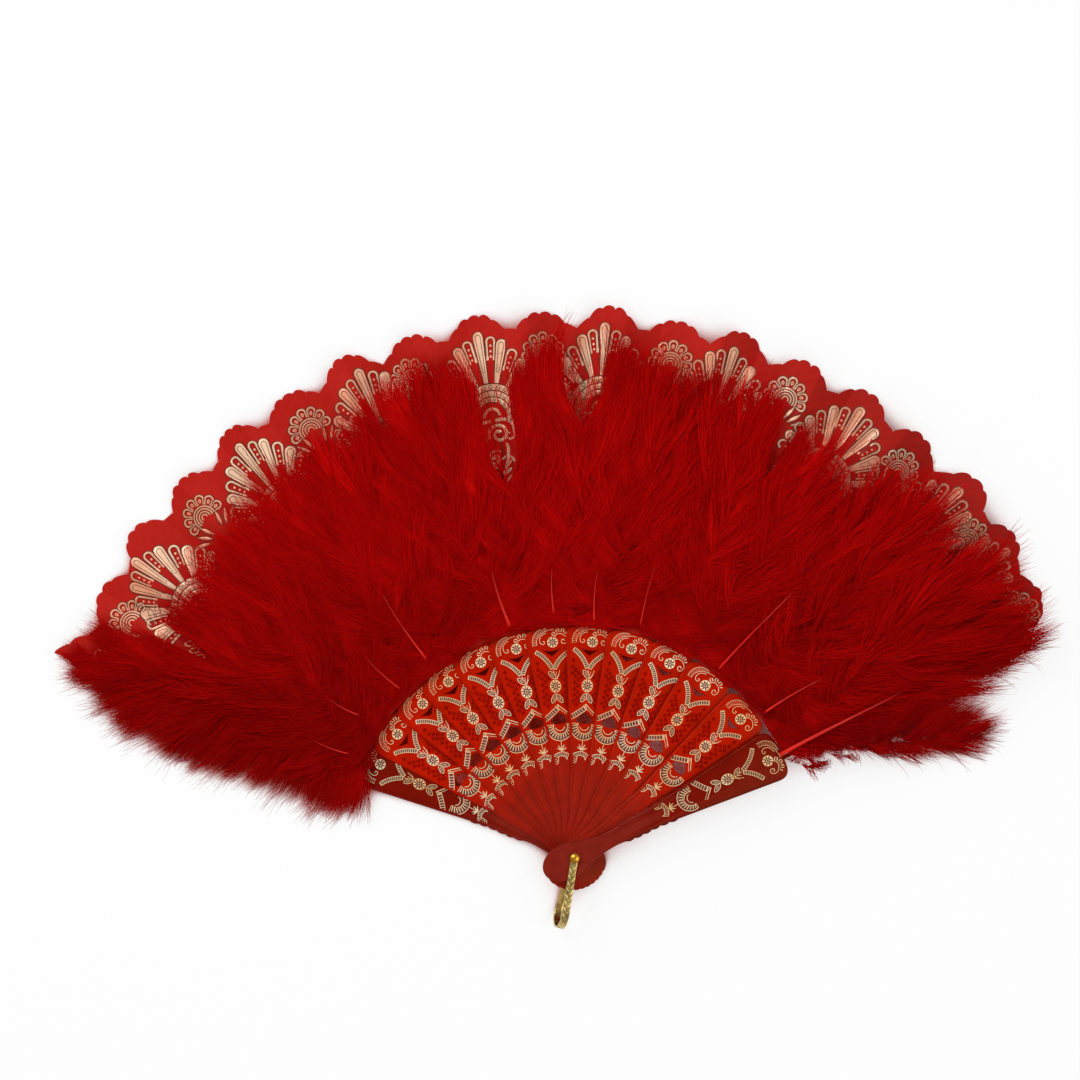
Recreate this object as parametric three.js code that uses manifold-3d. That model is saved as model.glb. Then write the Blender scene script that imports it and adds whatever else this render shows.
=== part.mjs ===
// A folding feather fan lying open, face up. Millimetres, +Z up.
// The origin is on the table, straight below the rivet that all the sticks turn on.
// X runs to the right and Y away from the rivet, so the leaf fans out over +Y.
import * as THREE from "three";
import { mergeVertices } from "three/addons/utils/BufferGeometryUtils.js";
import Module from "manifold-3d";

const wasm = await Module();
wasm.setup();

const DEGREE = Math.PI / 180;
const HALF_TURN = Math.PI;
const QUARTER_TURN = Math.PI / 2;

// How far the fan is open.
// Each fold takes its share of the whole angle, from the back guard to the front one.
const BACK_GUARD_ANGLE = 155.65 * DEGREE;
const OPEN_ANGLE = 128.45 * DEGREE;
const FOLD_SHARES = [7.3, 8.3, 7.1, 7.9, 7.9, 7.7, 8.3, 8.2, 8.5, 8.6, 10.1, 10.2];

// The stack on the rivet, from the table up.
const REAR_HEAD_THICKNESS = 1.0;
const BAIL_THICKNESS = 0.8;
const BAIL_CLEARANCE = 0.1;
const GUARD_THICKNESS = 1.8;
const STICK_THICKNESS = 0.9;
const LAYER_CLEARANCE = 0.15;

// The rivet.
const PIN_RADIUS = 1.25;
const PIN_CLEARANCE = 0.09;
const REAR_HEAD_RADIUS = 3.0;
const DOME_RADIUS = 2.3;
const DOME_HEIGHT = 1.7;
const DOME_RIM = 0.4;
const ROUND_SIDES = 16;
const DOME_STEPS = 4;

// A stick or guard, measured along its own centre line from the rivet.
const HEAD_LENGTH = 15.5;
const HEAD_CENTRE = 4.5;
const HEAD_HALF_WIDTH = 8.1;
const HEAD_END_ANGLE = 48 * DEGREE;
const HEAD_STEPS = 8;
const WAIST_RADIUS = 19;
const WAIST_HALF_WIDTH = 3.7;
const THROAT_PLACE_SHARE = 0.5;
const THROAT_WIDTH_SHARE = 0.67;
const NECK_RADIUS = 30;
const NECK_HALF_WIDTH = 4.6;
const SHOULDER_RADIUS = 41;
const BLADE_HALF_ANGLE = 6.6 * DEGREE;
const BLADE_TOP_RADIUS = 105;
const BLADE_CORNER = 6;
const CORNER_STEPS = 3;
const TOP_STEPS = 3;
const NECK_STEPS_PER_SPAN = 2;

// The wavy edge on the necks of the two guards.
const WAVE_START_RADIUS = 24;
const WAVE_END_RADIUS = 50;
const WAVE_LENGTH = 4.3;
const WAVE_HEIGHT = 0.6;
const WAVE_STEPS = 4;

// The slip: the thin end of each stick that carries the leaf.
const SLIP_THICKNESS = 0.5;
const SLIP_RECESS = 0.2;
const SLIP_ROOT_DEPTH = 7;
const SLIP_TIP_RADIUS = 235;
const SLIP_ROOT_HALF_WIDTH = 4;
const SLIP_TIP_HALF_WIDTH = 2;

// The openings in the eleven inner sticks, as shares of the blade's top radius.
const TOP_WINDOW_PLACE_SHARE = 0.87;
const TOP_WINDOW_HEIGHT_SHARE = 0.034;
const TOP_WINDOW_HALF_WIDTH_SHARE = 0.042;
const TOP_WINDOW_DIP_SHARE = 0.0086;
const LOWER_WINDOW_PLACE_SHARE = 0.579;
const LOWER_WINDOW_HEIGHT_SHARE = 0.0495;
const LOWER_WINDOW_SHOULDER_SHARE = 0.0267;
const LOWER_WINDOW_HALF_WIDTH_SHARE = 0.0324;
const LATTICE_START_SHARE = 0.6857;
const LATTICE_PITCH_SHARE = 0.0324;

// The lattice's rows, their distance from the middle as a share of the blade's half width,
// and a diamond's size as shares of the rows' pitch.
const LATTICE_ROWS = 5;
const LATTICE_OFFSET_SHARE = 0.58;
const LATTICE_HALF_WIDTH_SHARE = 0.5;
const LATTICE_HALF_LENGTH_SHARE = 0.41;

// The bail: a strip bent into a U round the stack, hung on both ends of the rivet.
const BAIL_WIDTH = 4;
const BAIL_EYE_RADIUS = 2.4;
const BAIL_REACH = 33.6;
const BAIL_ANGLE = 257.5 * DEGREE;
const BAIL_TWIST = 7 * DEGREE;
const BAIL_BEND_STEPS = 14;
const BAIL_LEG_STEPS = 4;

// The leaf: twelve pleats of thin cloth, each sagging between two slips to the table.
const LEAF_ROOT_CLEARANCE = 1.5;
const LEAF_RIM_RADIUS = 246;
const LEAF_THICKNESS = 0.4;
const SEAT_CLEARANCE = 0.4;
const SLIP_SIDE_CLEARANCE = 1.2;
const LEAF_ROOT_SAG = 0.4;
const LEAF_ROWS = 2;
const LEAF_FLAP_ANGLE = 3.2 * DEGREE;
const RIM_WAVE_HEIGHT = 8;
const RIM_WAVE_ANGLE = 7.2 * DEGREE;
const RIM_WAVE_CREST_ANGLE = 100.6 * DEGREE;
const SCALLOP_LENGTH = 4.2;
const SCALLOP_HEIGHT = 0.9;

// The feathers: a lower row of plumes on the slips and an upper row between them.
const PLUME_ROOT_SETBACK = 1;
const PLUME_CLEARANCE = 0.3;
const PLUME_EDGE_THICKNESS = 1.0;
const PLUME_ROW_CLEARANCE = 0.9;
const PLUME_ROWS = 6;
const PLUME_HALF_COLUMNS = 3;
const PLUME_WIDTH_SHARES = [0.62, 0.88, 0.95, 0.95, 0.95, 0.94, 0.86];
const TIP_NOTCH_SHARES = [1, 0.2, 0.8, 0];
const TIP_NOTCH = 16;
const LOFT_END_SHARE = 0.35;
const LOWER_LOFT = 5.2;
const LOWER_TIP_RADIUS = 205;
const UPPER_LOFT = 3.0;
const UPPER_TIP_RADIUS = 222;
const TIP_SWAY = 9;
const TIP_SWAY_TURN = 2.3;

// The plumes on the two guards reach past them and droop over their edges.
const END_PLUME_TIP_RADIUS = 236;
const LEFT_OVERHANG = 30;
const LEFT_OVERHANG_SHARES = [0.88, 0.94, 0.98, 1, 1, 0.98, 0.86];
const LEFT_DROOP = 3.6;
const LEFT_DROOP_START = 16;
const RIGHT_OVERHANG = 40;
const RIGHT_OVERHANG_SHARES = [0.2, 0.32, 0.46, 0.66, 0.94, 1, 0.64];
const RIGHT_DROOP = 15.5;
const RIGHT_DROOP_START = 5.5;

// Overrun of a cut past the faces that it goes through.
const OVERRUN = 1;

const glossPlastic = new THREE.MeshStandardMaterial({ color: 0xb21f0c, roughness: 0.25, metalness: 0 });
const leafCloth = new THREE.MeshStandardMaterial({ color: 0xb02018, roughness: 0.6, metalness: 0 });
const feather = new THREE.MeshStandardMaterial({ color: 0xa80404, roughness: 0.9, metalness: 0 });
const giltMetal = new THREE.MeshStandardMaterial({ color: 0xc9a552, roughness: 0.3, metalness: 1 });

// The guards and sticks are numbered from the back guard, 0, to the front guard.
const FRONT_GUARD = FOLD_SHARES.length;
const SHARE_SUM = FOLD_SHARES.reduce((sum, share) => sum + share, 0);
const ELEMENT_ANGLES = FOLD_SHARES.reduce(
  (angles, share) => [...angles, angles.at(-1) - (OPEN_ANGLE * share) / SHARE_SUM],
  [BACK_GUARD_ANGLE],
);

const SLIP_ROOT_RADIUS = BLADE_TOP_RADIUS - SLIP_ROOT_DEPTH;
const LEAF_ROOT_RADIUS = BLADE_TOP_RADIUS + LEAF_ROOT_CLEARANCE;
const PLUME_ROOT_RADIUS = LEAF_ROOT_RADIUS + PLUME_ROOT_SETBACK;
const BACK_GUARD_FLOOR = REAR_HEAD_THICKNESS + BAIL_THICKNESS + 2 * BAIL_CLEARANCE;
const FRONT_BAIL_FLOOR = layerFloor(FRONT_GUARD) + GUARD_THICKNESS + BAIL_CLEARANCE;
const PIN_TOP = FRONT_BAIL_FLOOR + BAIL_THICKNESS + BAIL_CLEARANCE;

// Height of the underside of a guard or stick.
function layerFloor(index) {
  if (index === 0) return BACK_GUARD_FLOOR;
  const firstStickFloor = BACK_GUARD_FLOOR + GUARD_THICKNESS + LAYER_CLEARANCE;
  return firstStickFloor + (index - 1) * (STICK_THICKNESS + LAYER_CLEARANCE);
}

// Height of the underside of a slip above that of its stick or guard.
// The back guard's slip lies in its upper part, so the slips climb by even steps.
function slipLift(index) {
  return index === 0 ? GUARD_THICKNESS - STICK_THICKNESS + SLIP_RECESS : SLIP_RECESS;
}

function polar(radius, angle) {
  return new THREE.Vector2(radius * Math.cos(angle), radius * Math.sin(angle));
}

// Half the width of a slip at a distance from the rivet.
function slipHalfWidth(radius) {
  const share = (radius - SLIP_ROOT_RADIUS) / (SLIP_TIP_RADIUS - SLIP_ROOT_RADIUS);
  return THREE.MathUtils.lerp(SLIP_ROOT_HALF_WIDTH, SLIP_TIP_HALF_WIDTH, Math.min(share, 1));
}

// Turns a closed three.js geometry into a manifold-3d solid.
function toSolid(geometry) {
  const bare = geometry.clone();
  bare.deleteAttribute("normal");
  bare.deleteAttribute("uv");
  const merged = mergeVertices(bare);
  return new wasm.Manifold(
    new wasm.Mesh({
      numProp: 3,
      vertProperties: merged.attributes.position.array,
      triVerts: new Uint32Array(merged.index.array),
    }),
  );
}

// Turns a manifold-3d solid back into a three.js geometry.
function toGeometry(solid) {
  const mesh = solid.getMesh();
  const geometry = new THREE.BufferGeometry();
  geometry.setAttribute("position", new THREE.BufferAttribute(mesh.vertProperties, 3));
  geometry.setIndex(new THREE.BufferAttribute(mesh.triVerts, 1));
  return geometry;
}

function namedMesh(name, geometry, material) {
  const mesh = new THREE.Mesh(geometry, material);
  mesh.name = name;
  return mesh;
}

function twoDigits(number) {
  return String(number).padStart(2, "0");
}

// The circle of a bore or pin as points, turned so that its corners lie at even angles.
function circlePoints(radius) {
  return Array.from({ length: ROUND_SIDES }, (_, k) => polar(radius, (2 * HALF_TURN * k) / ROUND_SIDES));
}

// The flat plate between two heights with the given outline and openings.
function plate(outline, openings, thickness) {
  const shape = new THREE.Shape(outline);
  shape.holes = openings.map((points) => new THREE.Path(points));
  return new THREE.ExtrudeGeometry(shape, { depth: thickness, bevelEnabled: false });
}

// One side of a stick's edge from the far end of its head to the shoulder, as [along, half width].
function headAndNeckEdge() {
  const headAxis = HEAD_LENGTH - HEAD_CENTRE;
  const head = Array.from({ length: HEAD_STEPS }, (_, k) => {
    const turn = THREE.MathUtils.lerp(HALF_TURN, HEAD_END_ANGLE, k / (HEAD_STEPS - 1));
    return new THREE.Vector2(headAxis * Math.cos(turn) - HEAD_CENTRE, HEAD_HALF_WIDTH * Math.sin(turn));
  });
  const shoulder = new THREE.Vector2(SHOULDER_RADIUS, SHOULDER_RADIUS * Math.tan(BLADE_HALF_ANGLE));
  const headEnd = head.at(-1);
  const waist = new THREE.Vector2(WAIST_RADIUS, WAIST_HALF_WIDTH);
  const throat = new THREE.Vector2(
    THREE.MathUtils.lerp(headEnd.x, waist.x, THROAT_PLACE_SHARE),
    THREE.MathUtils.lerp(headEnd.y, waist.y, THROAT_WIDTH_SHARE),
  );
  const neck = new THREE.SplineCurve([
    headEnd,
    throat,
    waist,
    new THREE.Vector2(NECK_RADIUS, NECK_HALF_WIDTH),
    shoulder,
  ]);
  const spans = neck.points.length - 1;
  return [...head, ...neck.getPoints(spans * NECK_STEPS_PER_SPAN).slice(1)];
}

// The same edge on a guard: small waves stand out from the neck and the start of the blade.
function wavyEdge() {
  const plain = headAndNeckEdge();
  const before = plain.filter((point) => point.x < WAVE_START_RADIUS);
  const halfWidthAt = (along) => {
    const next = plain.findIndex((point) => point.x > along);
    if (next < 0) return along * Math.tan(BLADE_HALF_ANGLE);
    const from = plain[next - 1];
    const to = plain[next];
    return THREE.MathUtils.mapLinear(along, from.x, to.x, from.y, to.y);
  };
  const waves = Math.round((WAVE_END_RADIUS - WAVE_START_RADIUS) / WAVE_LENGTH);
  const steps = waves * WAVE_STEPS;
  const wavy = Array.from({ length: steps + 1 }, (_, k) => {
    const along = THREE.MathUtils.lerp(WAVE_START_RADIUS, WAVE_END_RADIUS, k / steps);
    const swell = Math.abs(Math.sin((HALF_TURN * k) / WAVE_STEPS));
    return new THREE.Vector2(along, halfWidthAt(along) + WAVE_HEIGHT * swell);
  });
  return [...before, ...wavy];
}

// The blade's edge from its outer corner to the middle of its rounded top.
function bladeTopEdge() {
  const sideEnd = polar(BLADE_TOP_RADIUS - BLADE_CORNER, BLADE_HALF_ANGLE);
  const corner = polar(BLADE_TOP_RADIUS, BLADE_HALF_ANGLE);
  const topStartAngle = BLADE_HALF_ANGLE - BLADE_CORNER / BLADE_TOP_RADIUS;
  const topStart = polar(BLADE_TOP_RADIUS, topStartAngle);
  const rounding = new THREE.QuadraticBezierCurve(sideEnd, corner, topStart).getPoints(CORNER_STEPS);
  const top = Array.from({ length: TOP_STEPS }, (_, k) =>
    polar(BLADE_TOP_RADIUS, topStartAngle * (1 - (k + 1) / TOP_STEPS)),
  );
  return [...rounding, ...top];
}

// The closed outline from one side's edge and its mirror image.
function mirroredOutline(edge) {
  const otherSide = edge
    .slice(1, -1)
    .reverse()
    .map((point) => new THREE.Vector2(point.x, -point.y));
  return [...edge, ...otherSide].reverse();
}

// The three-cornered window below a stick's rounded top.
function topWindow() {
  const foot = BLADE_TOP_RADIUS * TOP_WINDOW_PLACE_SHARE;
  const top = foot + BLADE_TOP_RADIUS * TOP_WINDOW_HEIGHT_SHARE;
  const halfWidth = BLADE_TOP_RADIUS * TOP_WINDOW_HALF_WIDTH_SHARE;
  return [
    new THREE.Vector2(foot, 0),
    new THREE.Vector2(top, -halfWidth),
    new THREE.Vector2(top - BLADE_TOP_RADIUS * TOP_WINDOW_DIP_SHARE, 0),
    new THREE.Vector2(top, halfWidth),
  ];
}

// The five-cornered window under the roof-shaped band.
function lowerWindow() {
  const foot = BLADE_TOP_RADIUS * LOWER_WINDOW_PLACE_SHARE;
  const shoulder = foot + BLADE_TOP_RADIUS * LOWER_WINDOW_SHOULDER_SHARE;
  const halfWidth = BLADE_TOP_RADIUS * LOWER_WINDOW_HALF_WIDTH_SHARE;
  return [
    new THREE.Vector2(foot, 0),
    new THREE.Vector2(shoulder, -halfWidth),
    new THREE.Vector2(foot + BLADE_TOP_RADIUS * LOWER_WINDOW_HEIGHT_SHARE, 0),
    new THREE.Vector2(shoulder, halfWidth),
  ];
}

// The diamonds of the lattice, in a column on each side of the middle ornament.
function latticeDiamonds() {
  const diamonds = [];
  const pitch = BLADE_TOP_RADIUS * LATTICE_PITCH_SHARE;
  const halfLength = pitch * LATTICE_HALF_LENGTH_SHARE;
  const halfWidth = pitch * LATTICE_HALF_WIDTH_SHARE;
  for (let row = 0; row < LATTICE_ROWS; row += 1) {
    const along = BLADE_TOP_RADIUS * LATTICE_START_SHARE + row * pitch;
    for (const side of [-1, 1]) {
      const across = side * along * Math.tan(BLADE_HALF_ANGLE) * LATTICE_OFFSET_SHARE;
      diamonds.push([
        new THREE.Vector2(along - halfLength, across),
        new THREE.Vector2(along, across - halfWidth),
        new THREE.Vector2(along + halfLength, across),
        new THREE.Vector2(along, across + halfWidth),
      ]);
    }
  }
  return diamonds;
}

// The tapering slip beyond the blade, let into it at its root.
function slipOutline() {
  return [
    new THREE.Vector2(SLIP_ROOT_RADIUS, -SLIP_ROOT_HALF_WIDTH),
    new THREE.Vector2(SLIP_TIP_RADIUS, -SLIP_TIP_HALF_WIDTH),
    new THREE.Vector2(SLIP_TIP_RADIUS + SLIP_TIP_HALF_WIDTH, 0),
    new THREE.Vector2(SLIP_TIP_RADIUS, SLIP_TIP_HALF_WIDTH),
    new THREE.Vector2(SLIP_ROOT_RADIUS, SLIP_ROOT_HALF_WIDTH),
  ];
}

// A stick or guard with its slip, lying along +X with its underside at height zero.
function stickGeometry(edge, openings, thickness, lift) {
  const bore = circlePoints(PIN_RADIUS + PIN_CLEARANCE);
  const blade = plate(mirroredOutline([...edge, ...bladeTopEdge()]), [bore, ...openings], thickness);
  const slip = plate(slipOutline(), [], SLIP_THICKNESS);
  slip.translate(0, 0, lift);
  return toGeometry(toSolid(blade).add(toSolid(slip)));
}

function placedElement(name, geometry, index) {
  const mesh = namedMesh(name, geometry, glossPlastic);
  mesh.rotation.z = ELEMENT_ANGLES[index];
  mesh.position.z = layerFloor(index);
  return mesh;
}

function sticksAndGuards() {
  const group = new THREE.Group();
  const openings = [topWindow(), lowerWindow(), ...latticeDiamonds()];
  const stick = stickGeometry(headAndNeckEdge(), openings, STICK_THICKNESS, SLIP_RECESS);
  for (let index = 1; index < FRONT_GUARD; index += 1) {
    group.add(placedElement(`stick_${twoDigits(index)}`, stick, index));
  }
  for (const [name, index] of [["back_guard", 0], ["front_guard", FRONT_GUARD]]) {
    const guard = stickGeometry(wavyEdge(), [], GUARD_THICKNESS, slipLift(index));
    group.add(placedElement(name, guard, index));
  }
  return group;
}

// The rivet's pin with its flat rear head, turned about Z.
function rivetPin() {
  const profile = [
    new THREE.Vector2(0, 0),
    new THREE.Vector2(REAR_HEAD_RADIUS, 0),
    new THREE.Vector2(REAR_HEAD_RADIUS, REAR_HEAD_THICKNESS),
    new THREE.Vector2(PIN_RADIUS, REAR_HEAD_THICKNESS),
    new THREE.Vector2(PIN_RADIUS, PIN_TOP),
    new THREE.Vector2(0, PIN_TOP),
  ];
  const geometry = new THREE.LatheGeometry(profile, ROUND_SIDES);
  geometry.rotateX(QUARTER_TURN);
  return namedMesh("rivet_pin", geometry, giltMetal);
}

// The domed cap on the front end of the pin.
function rivetDome() {
  const profile = [new THREE.Vector2(0, 0), new THREE.Vector2(DOME_RADIUS, 0)];
  for (let step = 0; step <= DOME_STEPS; step += 1) {
    const turn = (QUARTER_TURN * step) / DOME_STEPS;
    const rise = DOME_RIM + (DOME_HEIGHT - DOME_RIM) * Math.sin(turn);
    profile.push(new THREE.Vector2(step === DOME_STEPS ? 0 : DOME_RADIUS * Math.cos(turn), rise));
  }
  const geometry = new THREE.LatheGeometry(profile, ROUND_SIDES);
  geometry.rotateX(QUARTER_TURN);
  const dome = namedMesh("rivet_dome", geometry, giltMetal);
  dome.position.z = PIN_TOP;
  return dome;
}

// The bail's side view: along its reach and up, a strip with a half-round bend.
function bailStripOutline(rearFloor, frontTop) {
  const outerRadius = (frontTop - rearFloor) / 2;
  const middle = (frontTop + rearFloor) / 2;
  const bendCentre = BAIL_REACH - outerRadius;
  const legStep = bendCentre / BAIL_LEG_STEPS;
  const legPoints = (height) =>
    Array.from({ length: BAIL_LEG_STEPS }, (_, k) => new THREE.Vector2(legStep * k, height));
  const bendPoints = (radius) =>
    Array.from({ length: BAIL_BEND_STEPS + 1 }, (_, k) => {
      const turn = THREE.MathUtils.lerp(-QUARTER_TURN, QUARTER_TURN, k / BAIL_BEND_STEPS);
      return new THREE.Vector2(bendCentre + radius * Math.cos(turn), middle + radius * Math.sin(turn));
    });
  const outside = [...legPoints(rearFloor), ...bendPoints(outerRadius), ...legPoints(frontTop).reverse()];
  const innerRadius = outerRadius - BAIL_THICKNESS;
  const inside = [
    ...legPoints(rearFloor + BAIL_THICKNESS),
    ...bendPoints(innerRadius),
    ...legPoints(frontTop - BAIL_THICKNESS).reverse(),
  ];
  return [...outside, ...inside.reverse()];
}

// A round eye at the end of a leg, on the rivet's axis.
function bailEye(radius, floor, thickness) {
  const eye = plate(circlePoints(radius), [], thickness);
  eye.translate(0, 0, floor);
  return toSolid(eye);
}

// The whole strip is twisted about the rivet's axis, so its rear leg shows beside its front one.
function bail() {
  const rearFloor = REAR_HEAD_THICKNESS + BAIL_CLEARANCE;
  const frontTop = FRONT_BAIL_FLOOR + BAIL_THICKNESS;
  const strip = plate(bailStripOutline(rearFloor, frontTop), [], BAIL_WIDTH);
  strip.translate(0, 0, -BAIL_WIDTH / 2);
  strip.rotateX(QUARTER_TURN);
  const boreRadius = PIN_RADIUS + PIN_CLEARANCE;
  const stackHeight = frontTop - rearFloor;
  const joined = toSolid(strip)
    .add(bailEye(BAIL_EYE_RADIUS, rearFloor, BAIL_THICKNESS))
    .add(bailEye(BAIL_EYE_RADIUS, FRONT_BAIL_FLOOR, BAIL_THICKNESS))
    .subtract(bailEye(boreRadius, rearFloor - OVERRUN, stackHeight + 2 * OVERRUN));
  const geometry = toGeometry(joined);
  twistAboutRivet(geometry, (rearFloor + frontTop) / 2, stackHeight);
  const mesh = namedMesh("bail", geometry, giltMetal);
  mesh.rotation.z = BAIL_ANGLE;
  return mesh;
}

// Turns each point about Z in proportion to its height above the middle.
function twistAboutRivet(geometry, middle, height) {
  const position = geometry.attributes.position;
  const point = new THREE.Vector3();
  const axis = new THREE.Vector3(0, 0, 1);
  for (let index = 0; index < position.count; index += 1) {
    point.fromBufferAttribute(position, index);
    point.applyAxisAngle(axis, (BAIL_TWIST * (point.z - middle)) / height);
    position.setXYZ(index, point.x, point.y, point.z);
  }
}

// A closed sheet between an upper and a lower surface, both given on a grid of rows and columns.
// Rows run outward and columns clockwise, so the upper faces look up.
function closedSheet(rows, columns, upperPoint, lowerPoint) {
  const positions = [];
  for (const surface of [upperPoint, lowerPoint]) {
    for (let row = 0; row <= rows; row += 1) {
      for (let column = 0; column <= columns; column += 1) {
        positions.push(...surface(row, column));
      }
    }
  }
  const width = columns + 1;
  const lowerStart = width * (rows + 1);
  const upper = (row, column) => row * width + column;
  const lower = (row, column) => lowerStart + upper(row, column);
  const faces = [];
  const addQuad = (a, b, c, d) => faces.push(a, b, c, a, c, d);
  for (let row = 0; row < rows; row += 1) {
    for (let column = 0; column < columns; column += 1) {
      addQuad(upper(row, column), upper(row, column + 1), upper(row + 1, column + 1), upper(row + 1, column));
      addQuad(lower(row, column), lower(row + 1, column), lower(row + 1, column + 1), lower(row, column + 1));
    }
    addQuad(upper(row, 0), upper(row + 1, 0), lower(row + 1, 0), lower(row, 0));
    addQuad(lower(row, columns), lower(row + 1, columns), upper(row + 1, columns), upper(row, columns));
  }
  for (let column = 0; column < columns; column += 1) {
    addQuad(lower(0, column), lower(0, column + 1), upper(0, column + 1), upper(0, column));
    addQuad(upper(rows, column), upper(rows, column + 1), lower(rows, column + 1), lower(rows, column));
  }
  const geometry = new THREE.BufferGeometry();
  geometry.setAttribute("position", new THREE.Float32BufferAttribute(positions, 3));
  geometry.setIndex(faces);
  return geometry;
}

// Height of the leaf's upper face over a slip.
function leafSeat(index) {
  return layerFloor(index) + slipLift(index) + SLIP_THICKNESS + SEAT_CLEARANCE + LEAF_THICKNESS;
}

// Where a direction lies between the guards, as a number of folds from the back guard.
function foldPosition(angle) {
  const next = ELEMENT_ANGLES.findIndex((elementAngle) => elementAngle < angle);
  if (next === 0) return 0;
  if (next < 0) return FRONT_GUARD;
  return next - (angle - ELEMENT_ANGLES[next]) / (ELEMENT_ANGLES[next - 1] - ELEMENT_ANGLES[next]);
}

// Height of the climbing surface that joins the leaf's seats on the slips.
function leafLevel(angle) {
  const position = foldPosition(angle);
  const before = Math.floor(position);
  const after = Math.min(before + 1, FRONT_GUARD);
  return THREE.MathUtils.lerp(leafSeat(before), leafSeat(after), position - before);
}

// Height of the underside of the lower plumes.
function plumeFloor(angle) {
  return leafLevel(angle) + PLUME_CLEARANCE;
}

// The rim's distance from the rivet: broad waves with small scallops on them.
function rimRadius(angle, scallopShare) {
  const wave = Math.cos((2 * HALF_TURN * (angle - RIM_WAVE_CREST_ANGLE)) / RIM_WAVE_ANGLE);
  return LEAF_RIM_RADIUS + (RIM_WAVE_HEIGHT * wave) / 2 + SCALLOP_HEIGHT * scallopShare;
}

// One pleat, between the slips of two neighbours. It lies flat over them and sags to a valley between.
// The first one also has a flap past the back guard's slip.
function leafPanel(index) {
  const leftSlip = ELEMENT_ANGLES[index - 1];
  const rightSlip = ELEMENT_ANGLES[index];
  const halfGap = SEAT_CLEARANCE / 2 / LEAF_ROOT_RADIUS;
  const left = index === 1 ? leftSlip + LEAF_FLAP_ANGLE : leftSlip - halfGap;
  const right = index === FRONT_GUARD ? rightSlip : rightSlip + halfGap;
  const columns = 2 * Math.round(((left - right) * LEAF_RIM_RADIUS) / SCALLOP_LENGTH);
  const rimSag = (leafSeat(index - 1) + leafSeat(index)) / 2 - LEAF_THICKNESS;
  const point = (row, column, drop) => {
    const angle = THREE.MathUtils.lerp(left, right, column / columns);
    const outward = row / LEAF_ROWS;
    const radius = THREE.MathUtils.lerp(LEAF_ROOT_RADIUS, rimRadius(angle, column % 2), outward);
    const columnWidth = ((left - right) * radius) / columns;
    const flat = slipHalfWidth(radius) + SLIP_SIDE_CLEARANCE + columnWidth;
    const fromSlip = Math.min(leftSlip - angle, angle - rightSlip) * radius;
    const halfWidth = ((leftSlip - rightSlip) * radius) / 2;
    const fold = Math.max(0, (fromSlip - flat) / (halfWidth - flat));
    const seat = leafLevel(angle);
    const sag = THREE.MathUtils.lerp(LEAF_ROOT_SAG, rimSag, outward);
    const spot = polar(radius, angle);
    return [spot.x, spot.y, seat - sag * fold - drop];
  };
  const geometry = closedSheet(
    LEAF_ROWS,
    columns,
    (row, column) => point(row, column, 0),
    (row, column) => point(row, column, LEAF_THICKNESS),
  );
  return namedMesh(`leaf_panel_${twoDigits(index)}`, geometry, leafCloth);
}

// How full a plume is at a distance from the rivet: slim at its root and its tip.
function loftShare(radius, tipRadius) {
  const share = THREE.MathUtils.clamp((radius - PLUME_ROOT_RADIUS) / (tipRadius - PLUME_ROOT_RADIUS), 0, 1);
  return THREE.MathUtils.lerp(LOFT_END_SHARE, 1, Math.sin(HALF_TURN * Math.sqrt(share)));
}

// Top of the lower row at a point: highest over a slip, lowest midway between two.
function lowerRowTop(radius, angle) {
  const position = foldPosition(angle);
  const fromSlip = 2 * Math.abs(position - Math.round(position));
  const loft = LOWER_LOFT * loftShare(radius, END_PLUME_TIP_RADIUS) * (1 - fromSlip ** 2);
  return plumeFloor(angle) + PLUME_EDGE_THICKNESS + loft;
}

// The rows' tips are uneven: each plume is a little longer or shorter than its neighbours.
function swayedTip(tipRadius, index) {
  return tipRadius + TIP_SWAY * Math.sin(TIP_SWAY_TURN * index);
}

// A plume's spread at a row, to one side of its centre line, as an angle.
function innerSpread(halfAngle, row) {
  return halfAngle * PLUME_WIDTH_SHARES[row];
}

function plumeRadius(row, column, tipRadius) {
  const notch = TIP_NOTCH_SHARES[Math.abs(column - PLUME_HALF_COLUMNS)];
  const tip = tipRadius - TIP_NOTCH * (1 - notch);
  return THREE.MathUtils.lerp(PLUME_ROOT_RADIUS, tip, row / PLUME_ROWS);
}

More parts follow.
